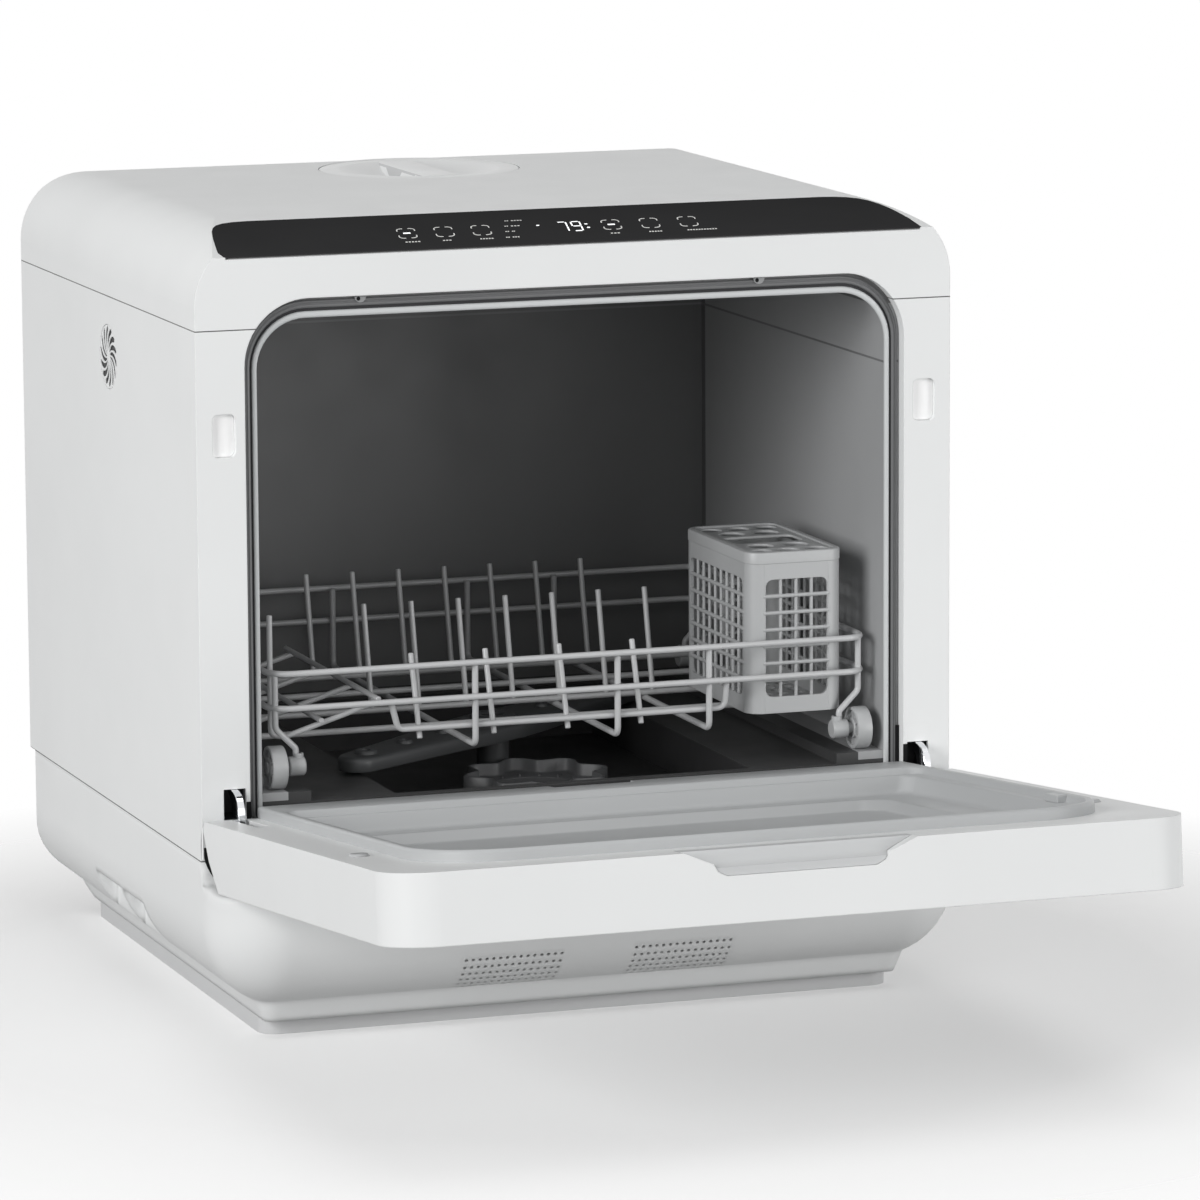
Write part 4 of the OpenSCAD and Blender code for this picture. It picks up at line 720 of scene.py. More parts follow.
class Mould:
    """Builds one mesh in a place's millimetres and turns it into a finished piece."""

    axis_gap = 0.01
    axis_near = 0.05
    cut_width = 0.72
    cut_push = 0.22
    bevel_segments = 2
    weld = 0.01

    def __init__(self, name: str, place: Place = Place.FRONT) -> None:
        """Starts an empty mesh.

        Args:
            name: The piece's name.
            place: The frame of its millimetres.
        """
        self.name = name
        self.place = place
        self.mesh = bmesh.new()

    def ring(self, points: Iterable[Sequence[float]]) -> list[bmesh.types.BMVert]:
        """Adds a row of corner points and returns them."""
        return [self.mesh.verts.new(Vector(p)) for p in points]

    def skin(self, first: list, second: list, closed: bool = True) -> None:
        """Joins two rows of points with quads.

        Args:
            first: One row.
            second: The next row, of the same length.
            closed: Whether the rows run round.
        """
        count = len(first)
        for i in range(count if closed else count - 1):
            j = (i + 1) % count
            self.mesh.faces.new((first[i], first[j], second[j], second[i]))

    def loft(
        self,
        loops: Sequence[Sequence[Point]],
        closed: bool = True,
        start_cap: bool = False,
        end_cap: bool = False,
    ) -> None:
        """Joins a row of loops into one skin.

        Args:
            loops: Loops with the same number of points.
            closed: Whether each loop runs round.
            start_cap: Whether the first loop is filled.
            end_cap: Whether the last loop is filled.
        """
        rows = [self.ring(loop) for loop in loops]
        for first, second in zip(rows, rows[1:]):
            self.skin(first, second, closed)
        if start_cap:
            self.mesh.faces.new(rows[0])
        if end_cap:
            self.mesh.faces.new(list(reversed(rows[-1])))

    def lathe(self, profile: Sequence[Flat], centre: Point, axis: Point, steps: int = 48) -> None:
        """Turns a profile about an axis.

        Args:
            profile: Pairs of radius and distance along the axis.
            centre: A point on the axis.
            axis: The axis direction.
            steps: Segments round the turn.
        """
        turn = Vector(axis).normalized().to_track_quat("Z", "Y").to_matrix()
        loops = []
        for radius, along in profile:
            flat = circle((0, 0), max(radius, self.axis_gap), steps)
            loops.append([Vector(centre) + turn @ Vector((x, y, along)) for x, y in flat])
        first, last = profile[0][0], profile[-1][0]
        self.loft(loops, start_cap=first < self.axis_near, end_cap=last < self.axis_near)

    def tube(
        self,
        path: Sequence[Sequence[float]],
        radius: float,
        sides: int = 12,
        closed: bool = False,
    ) -> None:
        """Sweeps a round wire along a path, with rounded cut ends.

        Args:
            path: The path's points.
            radius: The wire's radius.
            sides: Sides of the round.
            closed: Whether the path runs round.
        """
        points = [Vector(p) for p in path]
        count = len(points)
        ahead = []
        for i, point in enumerate(points):
            before = points[i - 1] if closed or i else point
            after = points[(i + 1) % count] if closed or i < count - 1 else point
            ahead.append((after - before).normalized())
        side = ahead[0].orthogonal().normalized()
        rows = []
        for i, point in enumerate(points):
            side = (side - ahead[i] * side.dot(ahead[i])).normalized()
            other = ahead[i].cross(side)
            rows.append([point + side * x + other * y for x, y in circle((0, 0), radius, sides)])
        if closed:
            rings = [self.ring(row) for row in rows]
            for first, second in zip(rings, [*rings[1:], rings[0]]):
                self.skin(first, second)
            return
        ends = []
        for row, point, push in ((rows[0], points[0], -ahead[0]), (rows[-1], points[-1], ahead[-1])):
            tip = push * radius * self.cut_push
            ends.append([point + (p - point) * self.cut_width + tip for p in row])
        self.loft([ends[0], *rows, ends[1]], start_cap=True, end_cap=True)

    def box(self, low: Point, high: Point) -> None:
        """Adds a box, for a bevel to round.

        Args:
            low: Its low corner.
            high: Its high corner.
        """
        plan = ((low[0], low[1]), (high[0], low[1]), (high[0], high[1]), (low[0], high[1]))
        loops = [[(x, y, z) for x, y in plan] for z in (low[2], high[2])]
        self.loft(loops, start_cap=True, end_cap=True)

    def plate(
        self,
        outline: Sequence[Flat],
        holes: Sequence[Sequence[Flat]],
        thick: float,
        lift: Callable[[Vector], Point],
        edge: float = 0.0,
    ) -> None:
        """Adds a flat plate with holes.

        Args:
            outline: The outer loop.
            holes: The hole loops.
            thick: The plate's thickness.
            lift: Takes a point of the flat plate, in X, Y and height, to its place.
            edge: Radius that the rims are rounded by.
        """
        curve = bpy.data.curves.new("plate", "CURVE")
        curve.dimensions = "2D"
        curve.fill_mode = "BOTH"
        curve.extrude = thick / 2 - edge
        curve.bevel_depth = edge
        curve.bevel_resolution = 1
        curve.offset = -edge
        for loop in (outline, *holes):
            spline = curve.splines.new("POLY")
            spline.points.add(len(loop) - 1)
            for spot, (x, y) in zip(spline.points, loop):
                spot.co = (x, y, 0, 1)
            spline.use_cyclic_u = True
        holder = bpy.data.objects.new("plate", curve)
        flat = holder.to_mesh()
        start = len(self.mesh.verts)
        self.mesh.from_mesh(flat)
        self.mesh.verts.ensure_lookup_table()
        for vert in self.mesh.verts[start:]:
            vert.co = Vector(lift(vert.co + Vector((0, 0, thick / 2))))
        holder.to_mesh_clear()
        bpy.data.objects.remove(holder)
        bpy.data.curves.remove(curve)

    def finish(
        self,
        finish: Finish,
        body: str,
        stands_for: Sequence[str] = (),
        sharp: float = 35.0,
        bevel: float = 0.0,
    ) -> None:
        """Closes the mesh, dresses it and hangs it on its body.

        Args:
            finish: The surface finish.
            body: The body it moves with.
            stands_for: CAD nodes it replaces.
            sharp: Angle in degrees above which an edge stays sharp.
            bevel: Radius of a bevel on the sharp edges, in millimetres.
        """
        bmesh.ops.remove_doubles(self.mesh, verts=self.mesh.verts, dist=self.weld)
        bmesh.ops.recalc_face_normals(self.mesh, faces=self.mesh.faces)
        self.mesh.transform(self.place.matrix())
        data = bpy.data.meshes.new(self.name)
        self.mesh.to_mesh(data)
        self.mesh.free()
        data.shade_smooth()
        data.set_sharp_from_angle(angle=math.radians(sharp))
        piece = bpy.data.objects.new(self.name, data)
        bpy.context.scene.collection.objects.link(piece)
        if bevel > 0:
            rim = piece.modifiers.new("rim", "BEVEL")
            rim.width = bevel * MM
            rim.segments = self.bevel_segments
            rim.limit_method = "ANGLE"
            rim.angle_limit = math.radians(sharp)
            rim.harden_normals = True
        data.materials.append(finish.material())
        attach(piece, body)
        finish.slot or finish.name
        if stands_for:
            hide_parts(*stands_for)
        LOG.info("%s: %d faces on %s", self.name, len(data.polygons), body)


# ---------- door ----------
@dataclass
class DoorLiner:
    """Liner of the door: raised rim, flat ledge, two-step dish, drain notch and latch boss."""

    half_width: float = 181.5
    near: float = 4.0
    far: float = 301.0
    foot: float = -0.6
    near_round: float = 2.0
    far_round: float = 44.0
    least_round: float = 20.0
    round_steps: int = 10
    rim_height: float = 6.0
    rim_width: float = 4.5
    ledge_height: float = 2.0
    dish_inset: float = 10.5
    dish_near: float = 40.0
    dish_near_round: float = 8.0
    dish_height: float = -8.0
    floor_inset: float = 35.0
    floor_height: float = -14.0
    notch: Flat = (-20.0, 25.0)
    notch_depth: float = 8.5
    notch_slope: float = 0.6
    wall_rows: tuple[Row, ...] = ((0.05, 0.0, -1.6, 0), (0.4, 0.4, -0.5, 0), (1.2, 1.2, 0.0, 0))
    rim_rows: tuple[Row, ...] = ((-1.0, -1.2, 0.0, 0), (-0.3, -0.4, -0.4, 0), (0.0, 0.0, -1.2, 0))
    ledge_rows: tuple[Row, ...] = ((0.4, 0.2, 0.6, 0), (1.2, 0.5, 0.0, 0))
    lip_rows: tuple[Row, ...] = ((-1.4, 1.0, 0.0, 0), (-0.4, 1.5, -0.4, 0), (0.3, 2.2, -1.6, 0))
    dish_rows: tuple[Row, ...] = ((1.8, 3.5, 2.4, 0), (3.4, 5.0, 0.6, 1), (6.0, 7.5, 0.0, 2))
    step_rows: tuple[Row, ...] = ((-3.0, 16.0, 0.0, 6), (-1.6, 17.2, -0.5, 6))
    floor_rows: tuple[Row, ...] = ((0.4, 19.0, 0.7, 6), (2.0, 20.5, 0.0, 6))
    boss_along: Flat = (223.5, 240.5)
    boss_width: float = 5.4
    boss_over: float = 0.4
    boss_sink: float = 0.3
    boss_round: float = 0.7

    def loop(
        self, inset: float, near: float, height: float, near_round: float, notch: float = 0.0,
    ) -> list[Point]:
        """Returns one closed loop of the liner.

        Args:
            inset: Distance inside the outer edge, at the sides and the free end.
            near: Where the loop starts at the hinge end.
            height: Its height above the door face.
            near_round: Corner radius at the hinge end.
            notch: Depth of the drain notch in this loop.

        Returns:
            The loop's points.
        """
        half = self.half_width - inset
        far_round = max(self.far_round - inset, self.least_round)
        corners = (-half, near), (half, self.far - inset)
        flat = rounded_loop(*corners, near_round, far_round, self.round_steps)
        left, right = self.notch
        dip = [
            (left - self.notch_slope, near), (left, near + notch),
            (right, near + notch), (right + self.notch_slope, near),
        ]
        first = self.round_steps + 1
        return [(x, s, height) for x, s in flat[:first] + dip + flat[first:]]

    def loops(self) -> list[list[Point]]:
        """Returns every loop from the outer foot to the dish floor."""
        top = self.rim_height
        edge = (0.0, self.near, top, self.near_round, self.notch_depth)
        foot = self.loop(0, self.near, self.foot, self.near_round)
        wall = self.loop(0, self.near, top + self.wall_rows[0][2], self.near_round)
        start, bend = self.dish_near, self.dish_near_round
        rows = [foot, wall]
        for offsets, (inset, near, height, turn, notch) in (
            (self.wall_rows, edge),
            (self.rim_rows, (self.rim_width, start, top, bend, 0.0)),
            (self.ledge_rows, (self.rim_width, start, self.ledge_height, bend, 0.0)),
            (self.lip_rows, (self.dish_inset, start, self.ledge_height, bend, 0.0)),
            (self.dish_rows, (self.dish_inset, start, self.dish_height, bend, 0.0)),
            (self.step_rows, (self.floor_inset, start, self.dish_height, bend, 0.0)),
            (self.floor_rows, (self.floor_inset, start, self.floor_height, bend, 0.0)),
        ):
            rows += [
                self.loop(inset + a, near + b, height + c, turn + d, notch) for a, b, c, d in offsets
            ]
        return rows

    def build(self) -> None:
        """Builds the liner and the boss on its ledge."""
        liner = Mould("door_liner_skin", Place.DOOR)
        liner.loft(self.loops(), end_cap=True)
        liner.finish(LINER, "door", ["door_liner"], sharp=50)
        boss = Mould("latch_boss", Place.DOOR)
        wall = self.half_width - self.rim_width
        near, far = self.boss_along
        boss.box(
            (wall - self.boss_width, near, self.ledge_height - self.boss_sink),
            (wall + self.boss_over, far, self.rim_height - self.boss_sink),
        )
        boss.finish(LINER, "door", ["corner_clip"], bevel=self.boss_round)


# ---------- rack ----------
@dataclass
class Rack:
    """Wire rack: rails, posts, floor wires, tines and the sloped cup shelf."""

    wire: float = 1.7
    thin: float = 1.5
    half_width: float = 167.3
    front: float = 13.5
    back: float = 277.0
    corner: float = 12.0
    rails: Flat = (190.5, 172.0)
    bend: float = 5.0
    weld: float = 0.3
    post_rows: Flat = (18.0, 262.0)
    post_lean: float = 11.0
    post_bends: Flat = (161.0, 150.0)
    post_low: float = 147.2
    cross: tuple[float, ...] = (-54.0, 26.0, 78.0)
    cross_height: float = 145.6
    floor_rows: tuple[float, ...] = (64.0, 118.125, 172.25, 226.375)
    floor_height: float = 148.7
    bar_ends: Flat = (-96.0, 88.0)
    bar_splay: float = 5.0
    bar_height: float = 156.0
    tine_pitch: float = 41.5
    tine_span: Flat = (150.0, 193.0)
    tine_lean: float = 13.0
    rear_rows: Flat = (118.125, 226.375)
    rear_count: int = 7
    rear_start: float = -80.0
    rear_pitch: float = 27.0
    rear_top: float = 205.0
    shelf_rows: tuple[float, ...] = (26.0, 76.0, 130.125, 184.25)
    shelf_heights: Flat = (220.0, 156.0)
    shelf_inner: Flat = (-104.0, 171.0)
    shelf_run: float = 8.0
    shelf_drop: float = 1.0
    shelf_bars: Flat = (0.35, 0.95)
    shelf_over: float = 6.0
    front_tines: tuple[int, ...] = (-2, -1, 0, 1)

    @property
    def post_x(self) -> float:
        """Returns how far the posts stand from the middle."""
        return self.half_width - 2 * self.wire + self.weld

    def rail_wires(self) -> None:
        """Builds the two closed rails, the corner posts and the side wires."""
        mould = Mould("rail_wires")
        low, high = (-self.half_width, self.front), (self.half_width, self.back)
        for height in self.rails:
            flat = rounded_loop(low, high, self.corner, self.corner)
            mould.tube([(x, y, height) for x, y in flat], self.wire, closed=True)
        for side in SIDES:
            outer, inner = side * self.post_x, side * (self.post_x - self.post_lean)
            upper, lower = self.post_bends
            for row in self.post_rows:
                path = [
                    (outer, row, self.rails[0]), (outer, row, upper),
                    (inner, row, lower), (inner, row, self.post_low),
                ]
                mould.tube(filleted(path, self.bend), self.wire)
            for row in self.floor_rows:
                mould.tube([(outer, row, self.rails[0]), (outer, row, self.floor_height)], self.wire)
        mould.finish(WIRE, "rack", ["rack_rails"])

    def floor_wires(self) -> None:
        """Builds the bent cross wires, the floor wires and the low front bar."""
        mould = Mould("floor_wires")
        first = self.front + 2 * self.wire - self.weld
        last = self.back - 2 * self.wire + self.weld
        high, low = self.rails
        under = self.cross_height
        for x in self.cross:
            path = [(x, first, high), (x, first, under), (x, last, under), (x, last, high)]
            mould.tube(filleted(path, self.bend), self.wire)
        for row in self.floor_rows:
            mould.tube([(side * self.post_x, row, self.floor_height) for side in SIDES], self.wire)
        deep = first + 2 * self.wire - self.weld
        left, right = self.bar_ends
        path = [
            (left - self.bar_splay, first, low), (left, deep, self.bar_height),
            (right, deep, self.bar_height), (right, first, low),
        ]
        mould.tube(filleted(path, self.bend), self.wire)
        mould.finish(WIRE, "rack", ["rack_floor"])

    def tine_wires(self) -> None:
        """Builds the leaning tines with flat cut ends."""
        mould = Mould("tine_wires")
        deep = self.front + 6 * self.wire - 2 * self.weld
        low, high = self.tine_span
        foot = self.floor_height + self.wire - self.weld
        for i in self.front_tines:
            x = i * self.tine_pitch
            mould.tube([(x, deep, low), (x, deep + self.tine_lean + self.thin, high)], self.thin)
        for row in self.rear_rows:
            for i in range(self.rear_count):
                x = self.rear_start + i * self.rear_pitch
                mould.tube([(x, row, foot), (x, row + self.tine_lean, self.rear_top)], self.thin)
        mould.finish(WIRE, "rack", ["rack_tines"])

    def cup_wires(self) -> None:
        """Builds the wires that hang from the left rail and slope up to the middle."""
        mould = Mould("cup_wires")
        outer = self.wire + self.thin - self.weld - self.half_width
        high, low = self.shelf_heights
        start, foot = outer + self.shelf_run, low - self.shelf_drop
        end, top = self.shelf_inner
        for row in self.shelf_rows:
            path = [(outer, row, high), (outer, row, low), (start, row, foot), (end, row, top)]
            mould.tube(filleted(path, self.bend), self.thin)
        near, far = self.shelf_rows[0] - self.shelf_over, self.shelf_rows[-1] + self.shelf_over
        for share in self.shelf_bars:
            x = start + share * (end - start)
            z = foot + share * (top - foot) + 2 * self.thin - self.weld
            mould.tube([(x, near, z), (x, far, z)], self.thin)
        mould.finish(WIRE, "rack", ["cup_shelf"])

    def build(self) -> None:
        """Builds every wire of the rack."""
        self.rail_wires()
        self.floor_wires()
        self.tine_wires()
        self.cup_wires()


@dataclass
class Wheels:
    """Four spoked wheels and the collars that carry them."""

    radius: float = 11.5
    width: float = 8.5
    inner: float = 160.2
    height: float = 140.5
    rows: Flat = (18.0, 262.0)
    bore: float = 3.05
    hub: float = 5.5
    rim: float = 9.5
    sink: float = 2.0
    hub_round: float = 0.4
    draft: float = 0.2
    rim_round: float = 0.3
    tread_round: float = 0.9
    tread_ease: float = 0.25
    steps: int = 56
    spokes: int = 6
    spoke_half: float = 0.6
    spoke_sink: float = 0.5
    spoke_over: float = 0.3
    collar: float = 5.2
    collar_span: Flat = (148.6, 157.6)
    collar_rounds: Flat = (0.7, 0.5)
    collar_steps: int = 40
    socket: float = 2.9
    socket_bore: float = 1.8
    socket_x: float = 151.9
    socket_high: float = 2.6
    socket_round: float = 0.3
    socket_sink: float = 0.8
    socket_steps: int = 24
    axle: float = 3.0
    axle_end: float = 169.5
    axle_round: float = 0.4

    def profile(self) -> list[Flat]:
        """Returns the wheel's half section, from bore to bore."""
        half = [
            (self.bore, 0), (self.hub - self.hub_round, 0), (self.hub, self.hub_round),
            (self.hub + self.draft, self.sink), (self.rim - self.draft, self.sink),
            (self.rim, self.rim_round), (self.rim + self.rim_round, 0),
            (self.radius - self.tread_round, 0), (self.radius - self.tread_ease, self.tread_ease),
            (self.radius, self.tread_round),
        ]
        back = [(radius, self.width - along) for radius, along in reversed(half)]
        return [*half, *back, half[0]]

    def wheel(self, side: int, row: float, name: str, body: str, node: str) -> None:
        """Builds one wheel with spokes in its hollow faces.

        Args:
            side: -1 for left, 1 for right.
            row: The axle's depth.
            name: The piece's name.
            body: The body it turns with.
            node: The CAD node it stands for.
        """
        mould = Mould(name)
        centre = (side * self.inner, row, self.height)
        mould.lathe(self.profile(), centre, (side, 0, 0), self.steps)
        low, high = self.hub - self.spoke_over, self.rim + self.spoke_over
        for face in (self.spoke_sink, self.width - self.sink):
            for i in range(self.spokes):
                turn = Matrix.Rotation(math.tau * i / self.spokes, 3, "X")
                outer = face + self.sink - self.spoke_sink
                near, far = sorted(side * (self.inner + x) for x in (face, outer))
                start = len(mould.mesh.verts)
                mould.box((near, -self.spoke_half, low), (far, self.spoke_half, high))
                mould.mesh.verts.ensure_lookup_table()
                for vert in mould.mesh.verts[start:]:
                    vert.co = turn @ vert.co + Vector((0, row, self.height))
        mould.finish(RACK_GREY, body, [node])

    def collars(self) -> None:
        """Builds the collars, their wire sockets and the axles."""
        mould = Mould("axle_collars")
        start, end = self.collar_span
        inner_round, outer_round = self.collar_rounds
        collar = [
            (0, start), (self.collar - inner_round, start), (self.collar, start + inner_round),
            (self.collar, end - outer_round), (self.collar - outer_round, end), (self.axle, end),
            (self.axle, self.axle_end - self.axle_round),
            (self.axle - self.axle_round, self.axle_end), (0, self.axle_end),
        ]
        high = self.socket_high
        socket = [
            (self.socket, 0), (self.socket, high - self.socket_round),
            (self.socket - self.socket_round, high), (self.socket_bore, high),
        ]
        for side in SIDES:
            for row in self.rows:
                mould.lathe(collar, (0, row, self.height), (side, 0, 0), self.collar_steps)
                spot = (side * self.socket_x, row, self.height + self.collar - self.socket_sink)
                mould.lathe(socket, spot, (0, 0, 1), self.socket_steps)
        mould.finish(RACK_GREY, "rack", ["wheel_stubs"])

    def build(self) -> None:
        """Builds the wheels and the collars."""
        for side, hand in zip(SIDES, "lr"):
            for row, end in zip(self.rows, "fr"):
                key = end + hand
                self.wheel(side, row, f"roller_{key}", f"wheel_{key}", f"rack_wheel_{key}")
        self.collars()


@dataclass
class Basket:
    """Cutlery basket of four barred walls with an overlapping lid."""

    left: float = 102.5
    front: float = 20.4
    width: float = 54.5
    depth: float = 102.6
    floor: float = 150.7
    height: float = 88.0
    wall: float = 2.0
    corner: float = 9.0
    corner_steps: int = 8
    plan_steps: int = 6
    loop_steps: int = 5
    slot_steps: int = 4
    lid_height: float = 6.0
    window_low: float = 9.0
    window_high: float = 73.0
    window_round: float = 4.0
    rows: int = 7
    front_columns: int = 4
    side_columns: int = 9
    bars: Flat = (0.95, 1.1)
    bar_depths: Flat = (1.25, 0.75)
    bar_sides: int = 8
    bar_over: float = 1.0
    window_margins: Flat = (0.5, 1.5)
    floor_margin: float = 1.0
    floor_grid: tuple[int, int] = (5, 10)
    floor_pitch: float = 9.6
    floor_hole: float = 3.4
    floor_sides: int = 12
    lid_over: float = 0.35
    lid_round: float = 1.2
    lid_hem: Flat = (2.0, 0.2)
    lid_chamfer: float = 0.35
    lid_ledge: Flat = (3.2, 3.6)
    lid_step: float = 0.4
    lid_inset: float = 3.4
    lid_drop: float = 2.4
    lid_wall: float = 1.4
    lid_edge: float = 0.3
    mouth_sides: int = 24
    mouths: tuple[Mouth, ...] = (((-16.0, 0.0, 16.0), 39.3, 6.2), ((-10.0, 10.0), 22.3, 7.2))
    slot_half: Flat = (20.0, 11.0)
    slot_round: float = 4.0

    @property
    def centre(self) -> Flat:
        """Returns the middle of the plan."""
        return self.left + self.width / 2, self.front + self.depth / 2

    def plan(self, grow: float, height: float) -> list[Point]:
        """Returns the plan outline.

        Args:
            grow: How far outside the wall it runs.
            height: Its height above the basket's floor.

        Returns:
            The outline's points.
        """
        low = (self.left - grow, self.front - grow)
        high = (self.left + self.width + grow, self.front + self.depth + grow)
        radius = self.corner + grow
        flat = rounded_loop(low, high, radius, radius, self.plan_steps)
        return [(x, y, self.floor + height) for x, y in flat]

    def wall_frame(
        self, mould: Mould, along: float, margin: float, columns: int, place: Callable[..., Point],
    ) -> None:
        """Adds one wall: a frame plate with a window, and the bars that cross it.

        Args:
            mould: The mesh to add to.
            along: Half length of the wall plate.
            margin: How much shorter its window is at each end.
            columns: How many columns the window has.
            place: Takes distance along, height and depth into the wall to a place.
        """
        half = along - margin
        high = self.height - self.lid_height
        low, top, over = self.window_low, self.window_high, self.bar_over
        outline = [(-along, 0), (along, 0), (along, high), (-along, high)]
        bend = self.window_round
        window = rounded_loop((-half, low), (half, top), bend, bend, self.loop_steps)
        holes = [list(reversed(window))]
        mould.plate(outline, holes, self.wall, lambda p: place(p.x, p.y, self.wall - p.z))
        (upright, level), (deep, shallow) = self.bars, self.bar_depths
        for i in range(1, columns):
            x = -half + 2 * half * i / columns
            ends = [place(x, low - over, deep), place(x, top + over, deep)]
            mould.tube(ends, upright, self.bar_sides)
        for j in range(1, self.rows):
            z = low + (top - low) * j / self.rows
            ends = [place(-half - over, z, shallow), place(half + over, z, shallow)]
            mould.tube(ends, level, self.bar_sides)

    def walls(self, mould: Mould) -> None:
        """Adds the four barred walls."""
        mid_x, mid_y = self.centre
        half_w, half_d = self.width / 2, self.depth / 2
        front, side_margin = self.window_margins
        for side in SIDES:
            edge_y, edge_x = mid_y + side * half_d, mid_x + side * half_w
            self.wall_frame(
                mould, half_w - self.corner, front, self.front_columns,
                lambda a, h, d, e=edge_y, s=side: (mid_x + a, e - s * d, self.floor + h),
            )
            self.wall_frame(
                mould, half_d - self.corner, side_margin, self.side_columns,
                lambda a, h, d, e=edge_x, s=side: (e - s * d, mid_y + a, self.floor + h),
            )

    def corners(self, mould: Mould) -> None:
        """Adds the four round corners."""
        mid_x, mid_y = self.centre
        run_x, run_y = self.width / 2 - self.corner, self.depth / 2 - self.corner
        high = self.height - self.lid_height
        for sx in SIDES:
            for sy in SIDES:
                centre = (mid_x + sx * run_x, mid_y + sy * run_y)
                start = math.degrees(math.atan2(sy, sx)) - 45
                outer = arc(centre, self.corner, start, start + 90, self.corner_steps)
                inner = arc(centre, self.corner - self.wall, start, start + 90, self.corner_steps)
                strip = outer + list(reversed(inner))
                loops = [[(x, y, self.floor + rise) for x, y in strip] for rise in (0, high)]
                mould.loft(loops, start_cap=True, end_cap=True)

    def base(self, mould: Mould) -> None:
        """Adds the pierced floor."""
        mid_x, mid_y = self.centre
        edge = self.floor_margin
        low = (self.left + edge, self.front + edge)
        high = (self.left + self.width - edge, self.front + self.depth - edge)
        outline = rounded_loop(low, high, self.corner - edge, self.corner - edge, self.loop_steps)
        across, along = self.floor_grid
        holes = []
        for i in range(across):
            for j in range(along):
                x = mid_x + (i - (across - 1) / 2) * self.floor_pitch
                y = mid_y + (j - (along - 1) / 2) * self.floor_pitch
                holes.append(list(reversed(circle((x, y), self.floor_hole, self.floor_sides))))
        mould.plate(outline, holes, self.wall, lambda p: (p.x, p.y, self.floor + p.z))

    def body(self) -> None:
        """Builds the walls, corners and floor grid."""
        mould = Mould("basket_walls")
        self.walls(mould)
        self.corners(mould)
        self.base(mould)
        mould.finish(RACK_GREY, "basket", ["basket_body"], sharp=40)

    def lid(self) -> None:
        """Builds the overlapping lid with its round mouths and sunk middle."""
        mould = Mould("basket_cover")
        over, high, bend = self.lid_over, self.height, self.lid_round
        low = high - self.lid_height
        (deep, hem), (ledge, inner), chamfer = self.lid_hem, self.lid_ledge, self.lid_chamfer
        mould.loft([
            self.plan(-self.wall, low - deep), self.plan(over, low - hem), self.plan(over, low),
            self.plan(over, high - bend), self.plan(over - chamfer, high - chamfer),
            self.plan(over - bend, high), self.plan(-ledge, high),
            self.plan(-inner, high - self.lid_step), self.plan(-inner, high - bend),
        ])
        mid_x, mid_y = self.centre
        inset, turn = self.lid_inset, self.corner - self.lid_inset
        near = (self.left + inset, self.front + inset)
        far = (self.left + self.width - inset, self.front + self.depth - inset)
        outline = rounded_loop(near, far, turn, turn, self.loop_steps)
        last = 360 / self.mouth_sides
        holes = []
        for side in SIDES:
            for places, row, radius in self.mouths:
                for x in places:
                    spot = (mid_x + x, mid_y + side * row)
                    holes.append(arc(spot, radius, 360, last, self.mouth_sides - 1))
        (wide, long), bend = self.slot_half, self.slot_round
        low, top = (mid_x - wide, mid_y - long), (mid_x + wide, mid_y + long)
        slot = rounded_loop(low, top, bend, bend, self.slot_steps)
        holes.append(list(reversed(slot)))
        drop = self.floor + high - self.lid_drop
        mould.plate(outline, holes, self.lid_wall, lambda p: (p.x, p.y, drop + p.z), self.lid_edge)
        mould.finish(RACK_GREY, "basket", ["basket_lid"], sharp=40)

    def build(self) -> None:
        """Builds the basket and its lid."""
        self.body()
        self.lid()


# ---------- cabinet details ----------
@dataclass
class OpeningTrim:
    """Soft lip, dark groove and pale bead round the opening."""

    sill: float = 115.2
    low_share: float = 0.1
    low_round: float = 3.0
    top_share: float = 1.3
    bend_steps: int = 12
    lip: tuple[Flat, ...] = (
        (1.5, 8.0), (1.5, 6.8), (1.8, 6.4), (2.4, 6.3), (2.7, 6.8), (3.0, 6.8), (3.3, 6.3), (4.2, 6.35),
        (4.6, 6.8), (4.7, 8.0),
    )
    groove: tuple[Flat, ...] = ((4.5, 7.8), (6.2, 7.8))
    bead: tuple[Flat, ...] = (
        (5.9, 8.0), (5.9, 6.9), (6.2, 6.45), (6.8, 6.3), (7.6, 6.3), (8.2, 6.45), (8.5, 6.9), (8.5, 8.0),
    )

    def arch(self, inset: float, depth: float) -> list[Point]:
        """Returns one loop round the opening.

        Args:
            inset: Distance inside the opening's edge.
            depth: Distance behind the front plane.

        Returns:
            The loop's points.
        """
        half = CABINET.opening_half - inset
        high = CABINET.opening_top - inset * self.top_share
        bend = CABINET.opening_round - inset
        low = self.sill + self.low_share * inset
        flat = rounded_loop((-half, low), (half, high), self.low_round, bend, self.bend_steps)
        return [(x, depth, z) for x, z in flat]

    def strip(
        self, name: str, section: Sequence[Flat], finish: Finish, stands_for: Sequence[str] = (),
    ) -> None:
        """Builds one strip from its section.

        Args:
            name: The piece's name.
            section: Pairs of inset and depth.
            finish: Its finish.
            stands_for: CAD nodes it replaces.
        """
        mould = Mould(name)
        mould.loft([self.arch(inset, depth) for inset, depth in section])
        mould.finish(finish, "cabinet", stands_for, sharp=60)

    def build(self) -> None:
        """Builds the three strips."""
        self.strip("seal_lip", self.lip, SEAL, ["door_gasket"])
        self.strip("seal_groove", self.groove, RUBBER)
        self.strip("seal_bead", self.bead, BEAD, ["gasket_trim"])


